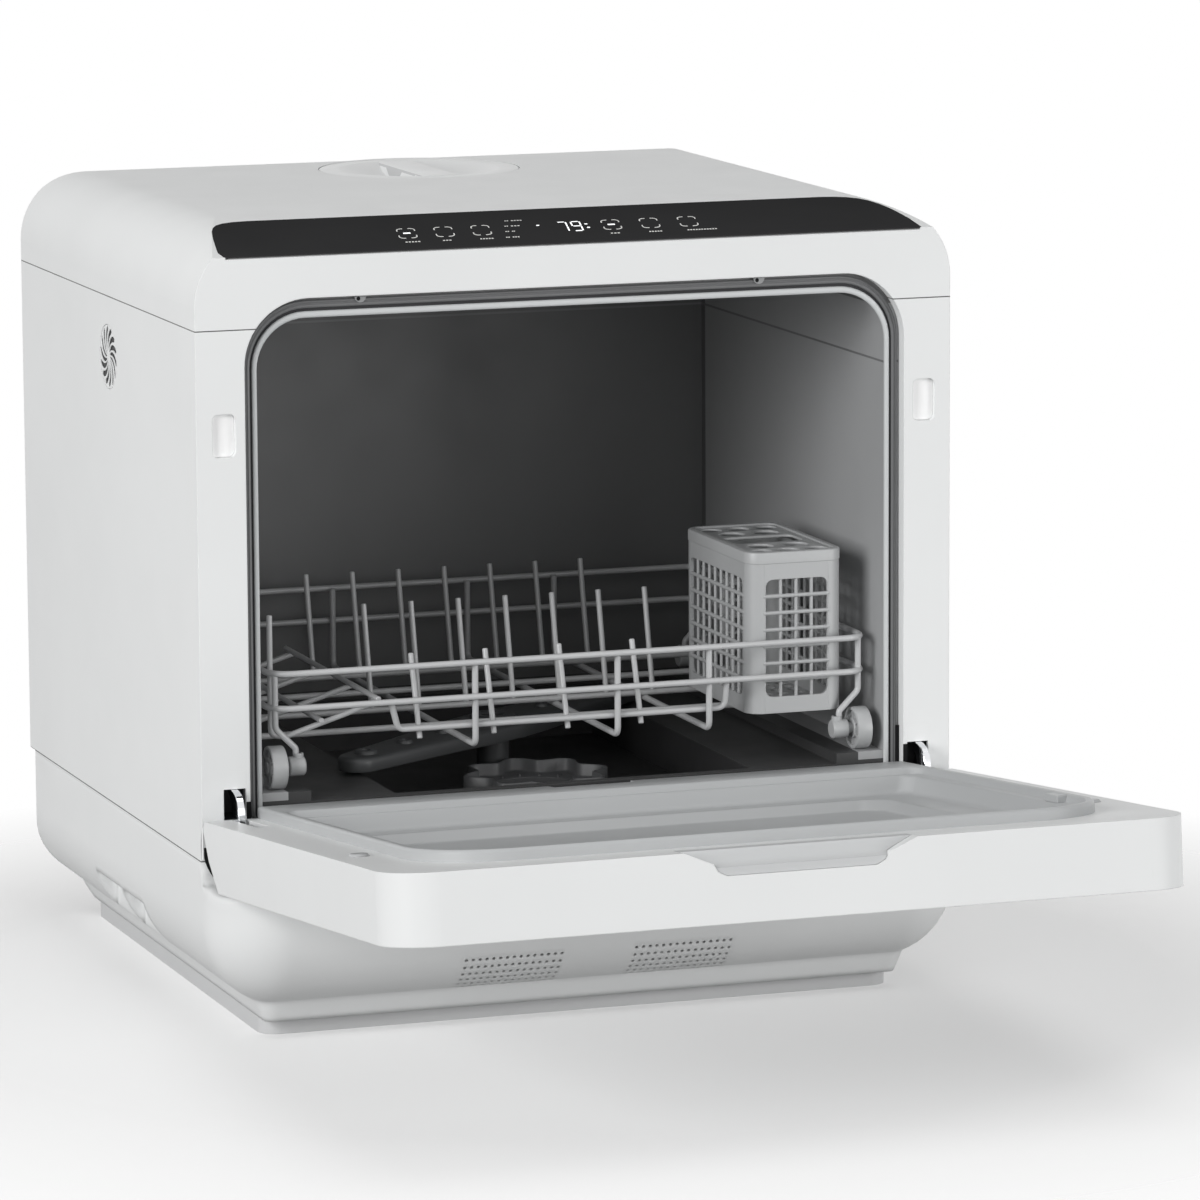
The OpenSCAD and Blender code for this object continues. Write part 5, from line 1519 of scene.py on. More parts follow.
@dataclass
class TankCap:
    """Round tank cap: flush rim, sunk bowl, grip bar across it and a skirt below."""

    centre: Flat = (4.9, 290.0)
    top: float = 425.0
    radius: float = 56.5
    disc: float = 4.6
    edge: float = 0.9
    edge_cut: float = 0.3
    bowl_radius: float = 45.0
    bowl_depth: float = 7.6
    bowl_wall: float = 2.4
    bowl_inset: float = 1.0
    bowl_drop: float = 0.5
    bowl_steps: int = 14
    bowl_lip: tuple[Flat, ...] = ((0.6, 0.0), (0.0, -0.1), (-0.5, -0.3))
    skirt: float = 45.0
    skirt_wall: float = 3.0
    skirt_low: float = 16.0
    skirt_round: float = 0.4
    skirt_clear: float = 2.0
    bar_half: float = 10.2
    bar_foot: float = 15.0
    bar_edge: float = 0.8
    bar_flat: float = 0.35
    bar_shoulder: Flat = (0.5, 1.0)
    bar_shares: tuple[float, ...] = (-1.0, -0.97, -0.6, 0.0, 0.6, 0.97, 1.0)
    bar_end: float = 0.96
    bar_inset: float = 1.2
    bar_sink: float = 1.0
    bar_wall: float = 2.0
    flank_inset: float = 2.0
    flank: tuple[Flat, ...] = ((0.1, -0.9), (0.62, -1.02), (0.3, -0.5))
    sharp: float = 28.0
    steps: int = 96

    def bowl(self, drop: float) -> list[Flat]:
        """Returns the bowl's curve from its rim to the middle.

        Args:
            drop: How far below the top face it starts.

        Returns:
            Pairs of radius and height.
        """
        wide, deep = self.bowl_radius - self.bowl_inset, self.bowl_depth - self.bowl_drop
        ball = (wide ** 2 + deep ** 2) / (2 * deep)
        start = self.top - drop - self.bowl_drop
        curve = []
        for i in range(self.bowl_steps):
            reach = wide * (1 - i / self.bowl_steps)
            sink = math.sqrt(ball ** 2 - reach ** 2) - (ball - deep)
            curve.append((reach, start - sink))
        return [*curve, (0, start - deep)]

    def profile(self) -> list[Flat]:
        """Returns the closed half section, from the underside's middle to the bowl's middle."""
        top, edge, skirt, bend = self.top, self.edge, self.skirt, self.skirt_round
        inner = skirt - self.skirt_wall
        clear = inner - self.skirt_clear
        under = [(r, z) for r, z in reversed(self.bowl(self.bowl_wall)) if r < clear]
        low, under_disc, cut = top - self.skirt_low, top - self.disc, self.edge_cut
        rim = [
            (inner, under_disc), (inner, low + bend), (inner + bend, low), (skirt - bend, low),
            (skirt, low + bend), (skirt, under_disc), (self.radius - cut, under_disc),
            (self.radius, under_disc + cut), (self.radius, top - edge),
            (self.radius - cut * edge, top - cut * edge), (self.radius - edge, top),
        ]
        lip = [(self.bowl_radius + out, top + rise) for out, rise in self.bowl_lip]
        return [*under, *rim, *lip, *self.bowl(0.0)]

    def bar(self, mould: Mould) -> None:
        """Adds the grip bar that crosses the bowl from front to back."""
        top, half = self.top, self.bar_half
        low = top - self.bowl_depth - self.bar_sink
        wide, deep = self.bar_shoulder
        right = [
            (half - self.bar_edge, top), (half, top - self.bar_flat), (half + wide, top - deep),
            (self.bar_foot, low),
        ]
        section = [(-a, b) for a, b in reversed(right)] + right
        x, y = self.centre
        reach = self.bowl_radius - self.bar_inset
        rows = []
        for share in self.bar_shares:
            squash = self.bar_end if abs(share) == 1 else 1.0
            wall = max(low, top - self.bar_wall - (1 - share ** 2) * self.bowl_depth)
            rows.append([(x + a * squash, y + share * reach, max(b, wall)) for a, b in section])
        mould.loft(rows, start_cap=True, end_cap=True)

    def flanks(self) -> None:
        """Builds grey sheets that paint the shade on the slopes on both sides of the grip bar."""
        mould = Mould("grip_flank_shades")
        x, y = self.centre
        reach = self.bowl_radius - self.flank_inset
        foot, crest = (self.bar_foot, self.top - self.bowl_depth), (self.bar_half, self.top)
        starts = (foot, crest, crest)
        section = [(a + out, b + rise) for (a, b), (out, rise) in zip(starts, self.flank)]
        for side in SIDES:
            rows = [[(x + side * a, y + end * reach, z) for a, z in section] for end in SIDES]
            mould.loft(rows, closed=False)
        mould.finish(FLANK_SHADE, "tank_lid")

    def build(self) -> None:
        """Builds the cap."""
        mould = Mould("round_cap")
        mould.lathe(self.profile(), (*self.centre, 0), (0, 0, 1), self.steps)
        self.bar(mould)
        mould.finish(WHITE_CAP, "tank_lid", ["tank_cap"], sharp=self.sharp)
        self.flanks()


@dataclass
class SideVent:
    """Round vent whose slots sweep out from the middle like a pinwheel."""

    centre: Flat = (171.5, 342.0)
    radius: float = 17.4
    face: float = -209.95
    thick: float = 0.7
    count: int = 14
    start: float = 3.0
    end: float = 16.2
    sweep: float = 38.0
    bend: float = 1.4
    width: Flat = (0.7, 3.0)
    widening: float = 1.25
    end_width: float = 0.6
    steps: int = 9
    rim_sides: int = 48
    rim_round: float = 0.15
    shade_gap: float = 0.1
    shade_round: float = 0.3

    def slot(self, turn: float) -> list[Flat]:
        """Returns one curved slot.

        Args:
            turn: Its angle in degrees.

        Returns:
            The slot's closed loop.
        """
        spine = []
        for i in range(self.steps + 1):
            t = i / self.steps
            reach = self.start + (self.end - self.start) * t
            angle = math.radians(turn + self.sweep * t ** self.bend)
            spine.append(Vector((reach * math.cos(angle), reach * math.sin(angle))))
        left, right = [], []
        narrow, full = self.width
        for i, point in enumerate(spine):
            ahead = (spine[min(i + 1, self.steps)] - spine[max(i - 1, 0)]).normalized()
            side = Vector((-ahead.y, ahead.x))
            opened = min(1.0, self.widening * i / self.steps)
            wide = narrow + (full - narrow) * math.sin(math.pi / 2 * opened)
            wide *= self.end_width if i == self.steps else 1.0
            left.append(tuple(point + side * wide / 2))
            right.append(tuple(point - side * wide / 2))
        return left + list(reversed(right))

    def build(self) -> None:
        """Builds the vent disc and the dark disc behind it, which paints the shade seen through the slots."""
        mould = Mould("air_vent")
        outline = circle((0, 0), self.radius, self.rim_sides)
        holes = [self.slot(360 * i / self.count) for i in range(self.count)]
        y, z = self.centre
        back = self.face + self.thick
        mould.plate(outline, holes, self.thick, lambda p: (back - p.z, y + p.x, z + p.y), self.rim_round)
        mould.finish(WHITE, "cabinet", ["side_vent"], sharp=40)
        # Painted shade: a dark disc behind the slots stands for the shade inside the vent.
        shade_disc = Mould("vent_shade_disc")
        bend = self.shade_round
        rim = self.radius - bend
        disc = [(0, 0), (rim - bend, 0), (rim, bend), (rim, 2 * bend), (0, 2 * bend)]
        shade_disc.lathe(disc, (back + self.shade_gap, y, z), (1, 0, 0))
        shade_disc.finish(VENT_SHADE, "cabinet")


@dataclass
class SprayArm:
    """Two-ended spray arm with rounded edges, raised jets and a ribbed nut."""

    centre: Flat = (0.0, 151.0)
    height: float = 125.0
    angle: float = 217.0
    length: float = 138.0
    mid: float = 22.0
    tip: float = 11.0
    thick: float = 8.0
    waist: tuple[Flat, Flat] = ((0.45, 0.52), (0.2, 0.93))
    levels: tuple[Flat, ...] = (
        (1.0, 0.0), (0.3, 0.3), (0.0, 1.0), (0.0, 5.6), (0.35, 6.8), (1.2, 7.7), (2.4, 8.0),
    )
    jets: tuple[float, ...] = (48.0, 84.0, 120.0)
    jet_radii: tuple[float, ...] = (4.0, 4.6, 6.4)
    jet_height: float = 2.2
    jet_shoulder: float = 0.7
    jet_round: float = 1.0
    jet_bore: Flat = (0.45, 0.4)
    jet_steps: int = 28
    nut: float = 12.0
    nut_height: float = 3.6
    nut_steps: int = 48
    bore: float = 6.3
    ribs: int = 12
    rib_half: float = 0.9
    rib_drop: float = 1.2
    lip: float = 0.8
    root: float = 0.3
    rib_sides: int = 8
    tip_turn: float = 84.0
    tip_steps: int = 12
    mid_turn: float = 12.0
    mid_steps: int = 4
    sharp: float = 40.0

    def outline(self, inset: float, height: float) -> list[Vector]:
        """Returns the arm's plan at one height.

        Args:
            inset: Distance inside the widest plan.
            height: Height above the underside.

        Returns:
            The loop's points, turned to the arm's rest angle.
        """
        reach, tip, mid = self.length - self.tip, self.tip - inset, self.mid - inset
        (far, share), (near, fill) = self.waist
        far, near, low, high = reach * far, reach * near, tip + (mid - tip) * share, mid * fill
        flat = []
        for side, turn in ((1, 0), (-1, 180)):
            first, last = turn - self.tip_turn, turn + self.tip_turn
            flat += arc((side * reach, 0), tip, first, last, self.tip_steps)
            flat += [(side * far, side * low), (side * near, side * high)]
            first, last = turn + 90 - self.mid_turn, turn + 90 + self.mid_turn
            flat += arc((0, 0), mid, first, last, self.mid_steps)
            flat += [(-side * near, side * high), (-side * far, side * low)]
        return [self.turned(x, y, height) for x, y in flat]

    def turned(self, x: float, y: float, height: float) -> Vector:
        """Returns a point of the arm in the cabinet's frame.

        Args:
            x: Distance along the arm.
            y: Distance across the arm.
            height: Height above the underside.

        Returns:
            The point, turned to the arm's rest angle.
        """
        spin = Matrix.Rotation(math.radians(self.angle), 3, "Z")
        return spin @ Vector((x, y, 0)) + Vector((*self.centre, self.height + height))

    def jet(self, mould: Mould, reach: float, radius: float) -> None:
        """Adds one raised jet with a sunk middle.

        Args:
            mould: The mesh to add to.
            reach: Its distance along the arm, with its sign.
            radius: Its radius.
        """
        high, bend, (mouth, bore) = self.jet_height, self.jet_round, self.jet_bore
        profile = [
            (radius, 0), (radius - self.root, high * self.jet_shoulder), (radius - bend, high),
            (radius * mouth, high), (radius * bore, high - self.lip), (0, high - bend),
        ]
        spot = tuple(self.turned(reach, 0, self.thick - self.root))
        mould.lathe(profile, spot, (0, 0, 1), self.jet_steps)

    def ribbed_nut(self, mould: Mould) -> None:
        """Adds the nut in the middle, with upright ribs round it."""
        high, nut, bore, lip = self.nut_height, self.nut, self.bore, self.lip
        profile = [
            (nut, 0), (nut, high - lip), (nut - lip, high), (bore + lip, high), (bore, high - lip), (bore, 0),
        ]
        spot = tuple(self.turned(0, 0, self.thick - self.root))
        mould.lathe(profile, spot, (0, 0, 1), self.nut_steps)
        for i in range(self.ribs):
            turn = math.tau * i / self.ribs
            foot = self.turned(nut * math.cos(turn), nut * math.sin(turn), self.thick)
            head = foot + Vector((0, 0, high - self.rib_drop))
            mould.tube([foot, head], self.rib_half, self.rib_sides)

    def build(self) -> None:
        """Builds the arm, its jets and the nut."""
        arm = Mould("water_arm")
        arm.loft([self.outline(inset, height) for inset, height in self.levels], start_cap=True, end_cap=True)
        arm.finish(SPRAY, "spray", ["spray_arm"], sharp=self.sharp)
        jets = Mould("water_jets")
        for side in SIDES:
            for reach, radius in zip(self.jets, self.jet_radii):
                self.jet(jets, side * reach, radius)
        self.ribbed_nut(jets)
        jets.finish(SPRAY, "spray", ["spray_nozzles"], sharp=self.sharp)


@dataclass
class FilterRing:
    """Scalloped filter collar with a smooth wavy wall and a ribbed neck."""

    centre: Flat = (7.0, 98.0)
    wave: float = 4.2
    mean: float = 37.0
    count: int = 8
    wall: float = 2.0
    low: float = 98.5
    step: float = 106.0
    high: float = 113.0
    bore: float = 26.0
    rim: float = 0.6
    crest: float = 0.5
    fillet: tuple[Flat, ...] = ((0.0, 0.8), (0.6, 0.1))
    floor_run: float = 2.0
    floor_drop: float = 0.2
    floor_share: float = 0.8
    neck_drop: float = 1.4
    rib: float = 4.6
    rib_sides: int = 6
    rib_half: float = 0.7
    rib_gap: float = 1.2
    steps: int = 160

    def loop(self, inset: float, height: float, share: float = 1.0) -> list[Point]:
        """Returns one wavy loop.

        Args:
            inset: Distance inside the outer wall.
            height: Its height.
            share: How much of the wave it keeps.

        Returns:
            The loop's points.
        """
        x, y = self.centre
        loop = []
        for i in range(self.steps):
            turn = math.tau * i / self.steps
            reach = self.mean - inset + share * self.wave * math.cos(self.count * turn)
            loop.append((x + reach * math.cos(turn), y + reach * math.sin(turn), height))
        return loop

    def build(self) -> None:
        """Builds the collar."""
        mould = Mould("filter_collar")
        low, step, high, wall, rim = self.low, self.step, self.high, self.wall, self.rim
        neck, run, crest = self.mean - self.bore, self.floor_run, self.crest
        mould.loft([
            self.loop(neck, low, 0), self.loop(rim, low), self.loop(0, low + rim), self.loop(0, high - rim),
            self.loop(crest, high), self.loop(wall - crest, high), self.loop(wall, high - rim),
            *(self.loop(wall + run_in, step + rise) for run_in, rise in self.fillet),
            self.loop(wall + run, step - self.floor_drop, self.floor_share),
            self.loop(neck - run, step - rim, 0), self.loop(neck, step - self.neck_drop, 0),
            self.loop(neck, low, 0),
        ])
        x, y = self.centre
        for i in range(2 * self.count):
            turn = math.tau * i / (2 * self.count)
            spot = Vector((math.cos(turn), math.sin(turn), 0))
            foot = Vector((x, y, step - rim)) + spot * (self.bore + self.rib_gap)
            mould.tube([foot, foot + spot * self.rib], self.rib_half, self.rib_sides)
        mould.finish(COLLAR, "filter", ["filter_ring"], sharp=45)


@dataclass(frozen=True)
class Crown:
    """The crowned front edge of the cabinet's top, as a part of a cylinder."""

    axis_y: float = 90.0
    axis_z: float = 87.0
    radius: float = 338.0

    def spot(self, x: float, y: float, lift: float) -> Point:
        """Returns a point of the crowned face.

        Args:
            x: Distance right.
            y: Distance behind the front plane.
            lift: Height above the crowned face.

        Returns:
            The point.
        """
        rise = math.sqrt(self.radius ** 2 - (y - self.axis_y) ** 2)
        return (x, y, self.axis_z + rise + lift)


CROWN = Crown()
BAR_ENDS = {
    "a": ((0, 1), (1, 1)), "b": ((1, 1), (1, 0.5)), "c": ((1, 0.5), (1, 0)), "d": ((0, 0), (1, 0)),
    "f": ((0, 1), (0, 0.5)), "g": ((0, 0.5), (1, 0.5)),
}


@dataclass
class PanelMarks:
    """Printed key frames, dashes and lit digits on the crowned panel."""

    lift: float = 0.24
    lean: float = 0.18
    middle: float = 24.3
    keys: tuple[float, ...] = (-87.0, -66.5, -46.0, 26.5, 48.0, 69.5)
    lit_keys: tuple[int, ...] = (0, 3)
    key_half: Flat = (4.85, 8.0)
    key_round: float = 2.6
    key_arms: Flat = (0.3, 0.42)
    key_steps: int = 6
    line: float = 0.32
    depth_gain: float = 1.7
    labels: tuple[float, ...] = (8.6, 5.2, 7.8, 5.6, 7.7, 17.0)
    label_shift: float = -2.6
    label_y: float = 10.4
    rows: tuple[tuple[float, float, float], ...] = (
        (-30.8, 39.0, 10.0), (-32.4, 29.0, 9.0), (-33.2, 20.0, 5.6), (-34.2, 11.0, 7.8),
    )
    row_head: float = 2.4
    row_indent: float = 3.6
    tick: float = 1.6
    tick_share: float = 0.68
    tick_line: float = 0.42
    digits: Flat = (-2.9, 4.8)
    digit: Flat = (4.8, 15.6)
    digit_line: float = 0.42
    digit_gap: Flat = (0.12, 0.05)
    bars: tuple[str, str] = ("abc", "abcdfg")
    key_light: Flat = (2.0, 0.6)
    dot: Flat = (0.8, 0.5)
    dots: tuple[Flat, ...] = ((-14.0, 28.0), (12.7, 27.0), (13.2, 21.0))

    def spot(self, x: float, y: float) -> Point:
        """Returns a leaning mark's point on the crowned panel.

        Args:
            x: Distance right, before the lean.
            y: Distance behind the front plane.

        Returns:
            The point.
        """
        return CROWN.spot(x + (y - self.middle) * self.lean, y, self.lift)

    def stroke(self, mould: Mould, path: Sequence[Flat], half: float) -> None:
        """Adds one flat stroke that follows a path.

        Args:
            mould: The mesh to add to.
            path: The stroke's middle line.
            half: Half of its width.
        """
        points = [Vector(p) for p in path]
        left, right = [], []
        for i, point in enumerate(points):
            ahead = (points[min(i + 1, len(points) - 1)] - points[max(i - 1, 0)]).normalized()
            side = Vector((-ahead.y, ahead.x)) * half
            deep = Vector((side.x, side.y * self.depth_gain))
            left.append(self.spot(*(point + deep)))
            right.append(self.spot(*(point - deep)))
        mould.loft([left, right], closed=False)

    def frame(self, mould: Mould, x: float) -> None:
        """Adds the four corner brackets of one key.

        Args:
            mould: The mesh to add to.
            x: The key's middle.
        """
        (wide, deep), bend, (across, along) = self.key_half, self.key_round, self.key_arms
        for sx in SIDES:
            for sy in SIDES:
                corner = [(x + sx * wide * across, self.middle + sy * deep)]
                for i in range(self.key_steps + 1):
                    turn = math.radians(90 * i / self.key_steps)
                    out, up = wide - bend + bend * math.sin(turn), deep - bend + bend * math.cos(turn)
                    corner.append((x + sx * out, self.middle + sy * up))
                corner.append((x + sx * wide, self.middle + sy * deep * along))
                self.stroke(mould, corner, self.line)

    def words(self, mould: Mould, x: float, y: float, length: float) -> None:
        """Adds a short broken line where a small label stands.

        Args:
            mould: The mesh to add to.
            x: Its left end.
            y: Its distance behind the front plane.
            length: Its length.
        """
        count = max(2, round(length / self.tick))
        for i in range(count):
            start = x + length * i / count
            end = start + length / count * self.tick_share
            self.stroke(mould, [(start, y), (end, y)], self.tick_line)

    def printed(self) -> None:
        """Builds the printed marks, which carry a faint painted glow."""
        mould = Mould("key_frames")
        for x, length in zip(self.keys, self.labels):
            self.frame(mould, x)
            self.words(mould, x + self.label_shift, self.label_y, length)
        for x, y, length in self.rows:
            self.words(mould, x, y, self.row_head)
            self.words(mould, x + self.row_indent, y, length - self.row_indent)
        mould.finish(PRINT_GLOW, "cabinet", ["key_marks"])

    def figure(self, mould: Mould, left: float, bars: str) -> None:
        """Adds one digit.

        Args:
            mould: The mesh to add to.
            left: Its left edge.
            bars: Letters of its lit bars.
        """
        wide, high = self.digit
        low = self.middle - high / 2
        for letter in bars:
            (x0, y0), (x1, y1) = BAR_ENDS[letter]
            gap_x, gap_y = self.digit_gap[0] * (x1 - x0), self.digit_gap[1] * (y1 - y0)
            start = (left + wide * (x0 + gap_x), low + high * (y0 + gap_y))
            end = (left + wide * (x1 - gap_x), low + high * (y1 - gap_y))
            self.stroke(mould, [start, end], self.digit_line)

    def dash(self, mould: Mould, x: float, y: float, size: Flat) -> None:
        """Adds one short lit dash.

        Args:
            mould: The mesh to add to.
            x: Its middle.
            y: Its distance behind the front plane.
            size: Half its length and half its width.
        """
        reach, half = size
        self.stroke(mould, [(x - reach, y), (x + reach, y)], half)

    def lit(self) -> None:
        """Builds the lit digits and dashes."""
        mould = Mould("digit_lights")
        for left, bars in zip(self.digits, self.bars):
            self.figure(mould, left, bars)
        for i in self.lit_keys:
            self.dash(mould, self.keys[i], self.middle, self.key_light)
        for x, y in self.dots:
            self.dash(mould, x, y, self.dot)
        mould.finish(DIGITS, "cabinet", ["display_digits"])

    def build(self) -> None:
        """Builds the marks."""
        self.printed()
        self.lit()


@dataclass
class TrackEnds:
    """Chamfered plates at the front ends of the rack's tracks."""

    inner: float = 160.5
    outer: float = 174.6
    front: float = 8.4
    back: float = 24.0
    low: float = 126.5
    high: float = 128.92
    chamfer: float = 5.0
    edge: float = 0.5

    def build(self) -> None:
        """Builds both plates."""
        mould = Mould("track_ends")
        for side in SIDES:
            inner, outer = side * self.inner, side * self.outer
            cut = side * (self.inner + self.chamfer)
            plan = [
                (outer, self.front), (inner, self.front), (inner, self.back - self.chamfer), (cut, self.back),
                (outer, self.back),
            ]
            rows = [[(x, y, z) for x, y in plan] for z in (self.low, self.high)]
            mould.loft(rows, start_cap=True, end_cap=True)
        mould.finish(TRACK, "cabinet", bevel=self.edge)


@dataclass
class SlotCovers:
    """Plates that close the upper outer part of each hinge slot, and dark strips that paint the shade in the
    pockets beside them.
    """

    inner: float = 185.5
    outer: float = 198.25
    low: float = 134.0
    high: float = 143.25
    front: float = -0.05
    back: float = 1.2
    dark_span: Flat = (181.3, 183.45)
    dark_low: float = 117.5
    dark_high: Flat = (126.5, 142.5)
    dark_depth: Flat = (5.95, 6.25)
    step_span: Flat = (183.4, 185.8)
    step_high: Flat = (126.8, 133.0)
    step_depth: Flat = (-0.06, 0.02)

    def build(self) -> None:
        """Builds both plates and the painted shade strips."""
        mould = Mould("slot_covers")
        for side in SIDES:
            near, far = sorted((side * self.inner, side * self.outer))
            mould.box((near, self.front, self.low), (far, self.back, self.high))
        mould.finish(COVER, "cabinet")
        # Painted shade: dark strips where the hinge pockets and the seal's edge lie in shade.
        dark = Mould("slot_shades")
        for side, strip_high, step_high in zip(SIDES, self.dark_high, self.step_high):
            for span, depth, high in (
                (self.dark_span, self.dark_depth, strip_high),
                (self.step_span, self.step_depth, step_high),
            ):
                near, far = sorted(side * x for x in span)
                dark.box((near, depth[0], self.dark_low), (far, depth[1], high))
        dark.finish(SHADE_BLACK, "cabinet")


@dataclass
class Catches:
    """Half-round spring catches with a small hole, under the top lip."""

    places: Flat = (-118.5, 103.0)
    top: float = 388.9
    radius: float = 3.2
    hole: float = 1.05
    shift: float = -1.1
    depth: Flat = (5.9, 6.2)
    edge: float = 0.1
    steps: int = 16
    hole_deep: float = 0.3
    hole_lead: float = 0.06
    hole_steps: int = 24

    def build(self) -> None:
        """Builds both catches and the black discs that paint the shade in their holes."""
        bosses = Mould("catch_bosses")
        holes = Mould("catch_hole_shades")
        front, back = self.depth
        edge, hole, deep = self.edge, self.hole, self.hole_deep
        for x in self.places:
            rows = []
            for inset, y in ((edge, back), (0.0, back - edge), (0.0, front + edge), (edge, front)):
                half = arc((x, self.top), self.radius - inset, 180, 360, self.steps)
                rows.append([(a, y, b) for a, b in half])
            bosses.loft(rows, end_cap=True)
            # Painted shade: a black disc in front of each catch stands for its hole.
            spot = (x + self.shift, front - self.hole_lead, self.top - hole - edge)
            holes.lathe([(0, 0), (hole, 0), (hole, deep), (0, deep)], spot, (0, 1, 0), self.hole_steps)
        bosses.finish(CATCH, "cabinet", ["latch_receivers"])
        holes.finish(SHADE_BLACK, "cabinet")


@dataclass
class PanelGlass:
    """Dark glass band on the crowned front edge, with one raking and one rounded end."""

    lift: float = 0.1
    sink: float = 0.4
    front: float = 0.4
    back: float = 65.0
    ends: tuple[Flat, ...] = (
        (0.0, 193.6), (0.18, 192.0), (0.36, 189.9), (0.52, 187.8), (0.66, 185.5), (0.78, 182.7),
        (0.87, 179.4), (0.94, 174.5), (0.98, 168.5), (1.0, 160.0),
    )
    shares: tuple[float, ...] = (
        0.0, 0.05, *(0.1 * i for i in range(1, 7)),
        0.66, 0.72, 0.78, 0.83, 0.87, 0.91, 0.94, 0.96, 0.98, 0.99, 1.0,
    )
    columns: int = 24
    left_more: float = 2.2
    left_fade: float = 0.1

    def half_at(self, share: float) -> float:
        """Returns the band's half width at a share of its depth."""
        for (low, first), (high, second) in zip(self.ends, self.ends[1:]):
            if share <= high:
                return first + (second - first) * (share - low) / (high - low)
        return self.ends[-1][1]

    def row(self, share: float) -> list[Point]:
        """Returns one line across the band, with its sunk ends.

        Args:
            share: How far back it lies, as a share of the band's depth.

        Returns:
            The line's points from left to right.
        """
        y = self.front + (self.back - self.front) * share
        half = self.half_at(share)
        left = -half - self.left_more * min(1.0, share / self.left_fade)
        line = [left + (half - left) * i / self.columns for i in range(self.columns + 1)]
        top = [CROWN.spot(x, y, self.lift) for x in line]
        return [CROWN.spot(left, y, -self.sink), *top, CROWN.spot(half, y, -self.sink)]

    def hem(self, row: list[Point], y: float) -> list[Point]:
        """Returns the band's front or back line, let down to its sunk ends.

        Args:
            row: The line at that edge.
            y: The edge's distance behind the front plane.

        Returns:
            The lowered line.
        """
        inner = [(x, y, z - self.lift - self.sink) for x, _, z in row[1:-1]]
        return [(row[0][0], y, row[0][2]), *inner, (row[-1][0], y, row[-1][2])]

    def build(self) -> None:
        """Builds the glass band."""
        mould = Mould("panel_glass")
        rows = [self.row(share) for share in self.shares]
        rows = [self.hem(rows[0], self.front), *rows, self.hem(rows[-1], self.back)]
        mould.loft(rows, closed=False)
        mould.finish(PANEL, "cabinet", ["control_panel"], sharp=30)


@dataclass
class HingeBlades:
    """Polished hinge arms: flat blades that hook up from the hinge into the slots."""

    middle: float = 192.2
    half: float = 1.9
    edge: float = 0.35
    profile: tuple[Flat, ...] = (
        (-13.6, 104.0), (-14.3, 112.0), (-14.4, 119.0), (-13.8, 124.5), (-12.0, 128.6), (-8.6, 131.8),
        (-4.0, 133.4), (1.0, 133.9), (6.5, 133.6), (7.4, 132.6), (3.6, 131.2), (0.0, 127.8),
        (-2.8, 122.8), (-4.6, 117.0), (-5.6, 110.0), (-6.4, 104.0),
    )

    def outline(self, x: float, inset: float) -> list[Point]:
        """Returns the blade's side outline, drawn in towards its middle.

        Args:
            x: Distance right.
            inset: How far it is drawn in.

        Returns:
            The loop's points.
        """
        centre_y = sum(y for y, _ in self.profile) / len(self.profile)
        centre_z = sum(z for _, z in self.profile) / len(self.profile)
        row = []
        for y, z in self.profile:
            pull = 1 - inset / math.hypot(y - centre_y, z - centre_z)
            row.append((x, centre_y + (y - centre_y) * pull, centre_z + (z - centre_z) * pull))
        return row

    def build(self) -> None:
        """Builds both blades."""
        mould = Mould("hinge_blades")
        half, edge = self.half, self.edge
        cuts = ((-half, edge), (-half + edge, 0.0), (half - edge, 0.0), (half, edge))
        for side in SIDES:
            rows = [self.outline(side * self.middle + across, inset) for across, inset in cuts]
            mould.loft(rows, start_cap=True, end_cap=True)
        mould.finish(CHROME, "cabinet", ["hinge_arms"], sharp=30)


@dataclass
class CornerShades:
    """Dark sheets that paint the shadow in the curved gaps between the base and the open door's lower
    corners.
    """

    inner: float = 188.0
    lift: float = 0.25
    curve: tuple[Point, ...] = (
        (208.6, 3.9, 103.0), (208.4, 3.7, 99.3), (207.9, 2.9, 95.6), (207.0, 1.6, 92.7),
        (205.7, 0.0, 89.7), (203.4, -0.1, 86.4), (200.5, -4.0, 84.6), (196.0, -8.3, 82.8),
        (190.0, -13.0, 80.2),
    )

    def build(self) -> None:
        """Builds both painted shadows."""
        mould = Mould("gap_painted_shadows")
        for side in SIDES:
            outer = [(side * x, y - self.lift, z + self.lift / 2) for x, y, z in self.curve]
            inner = [(side * self.inner, y - self.lift, z + self.lift / 2) for _, y, z in self.curve]
            mould.loft([outer, inner], closed=False)
        mould.finish(SHADE_BLACK, "cabinet")


@dataclass
class EdgeHighlights:
    """Painted highlights: bright rounded lines on the front edges of the shells."""

    inset: float = 0.5
    depth: float = 0.5
    low: float = 97.5
    top: float = 412.3
    corner: float = 38.0
    radius: float = 0.5
    sweep: float = 62.0
    steps: int = 14
    sides: int = 8

    def build(self) -> None:
        """Builds the painted highlight line on each side and round each top corner."""
        mould = Mould("painted_edge_highlights")
        edge = CABINET.half_width - self.inset
        for side in SIDES:
            bend = self.corner - self.inset
            turn = arc((edge - bend, self.top - bend), bend, 0, self.sweep, self.steps)
            path = [(edge, self.low), *turn]
            mould.tube([(side * x, self.depth, z) for x, z in path], self.radius, self.sides)
        mould.finish(HIGHLIGHT_WHITE, "cabinet")


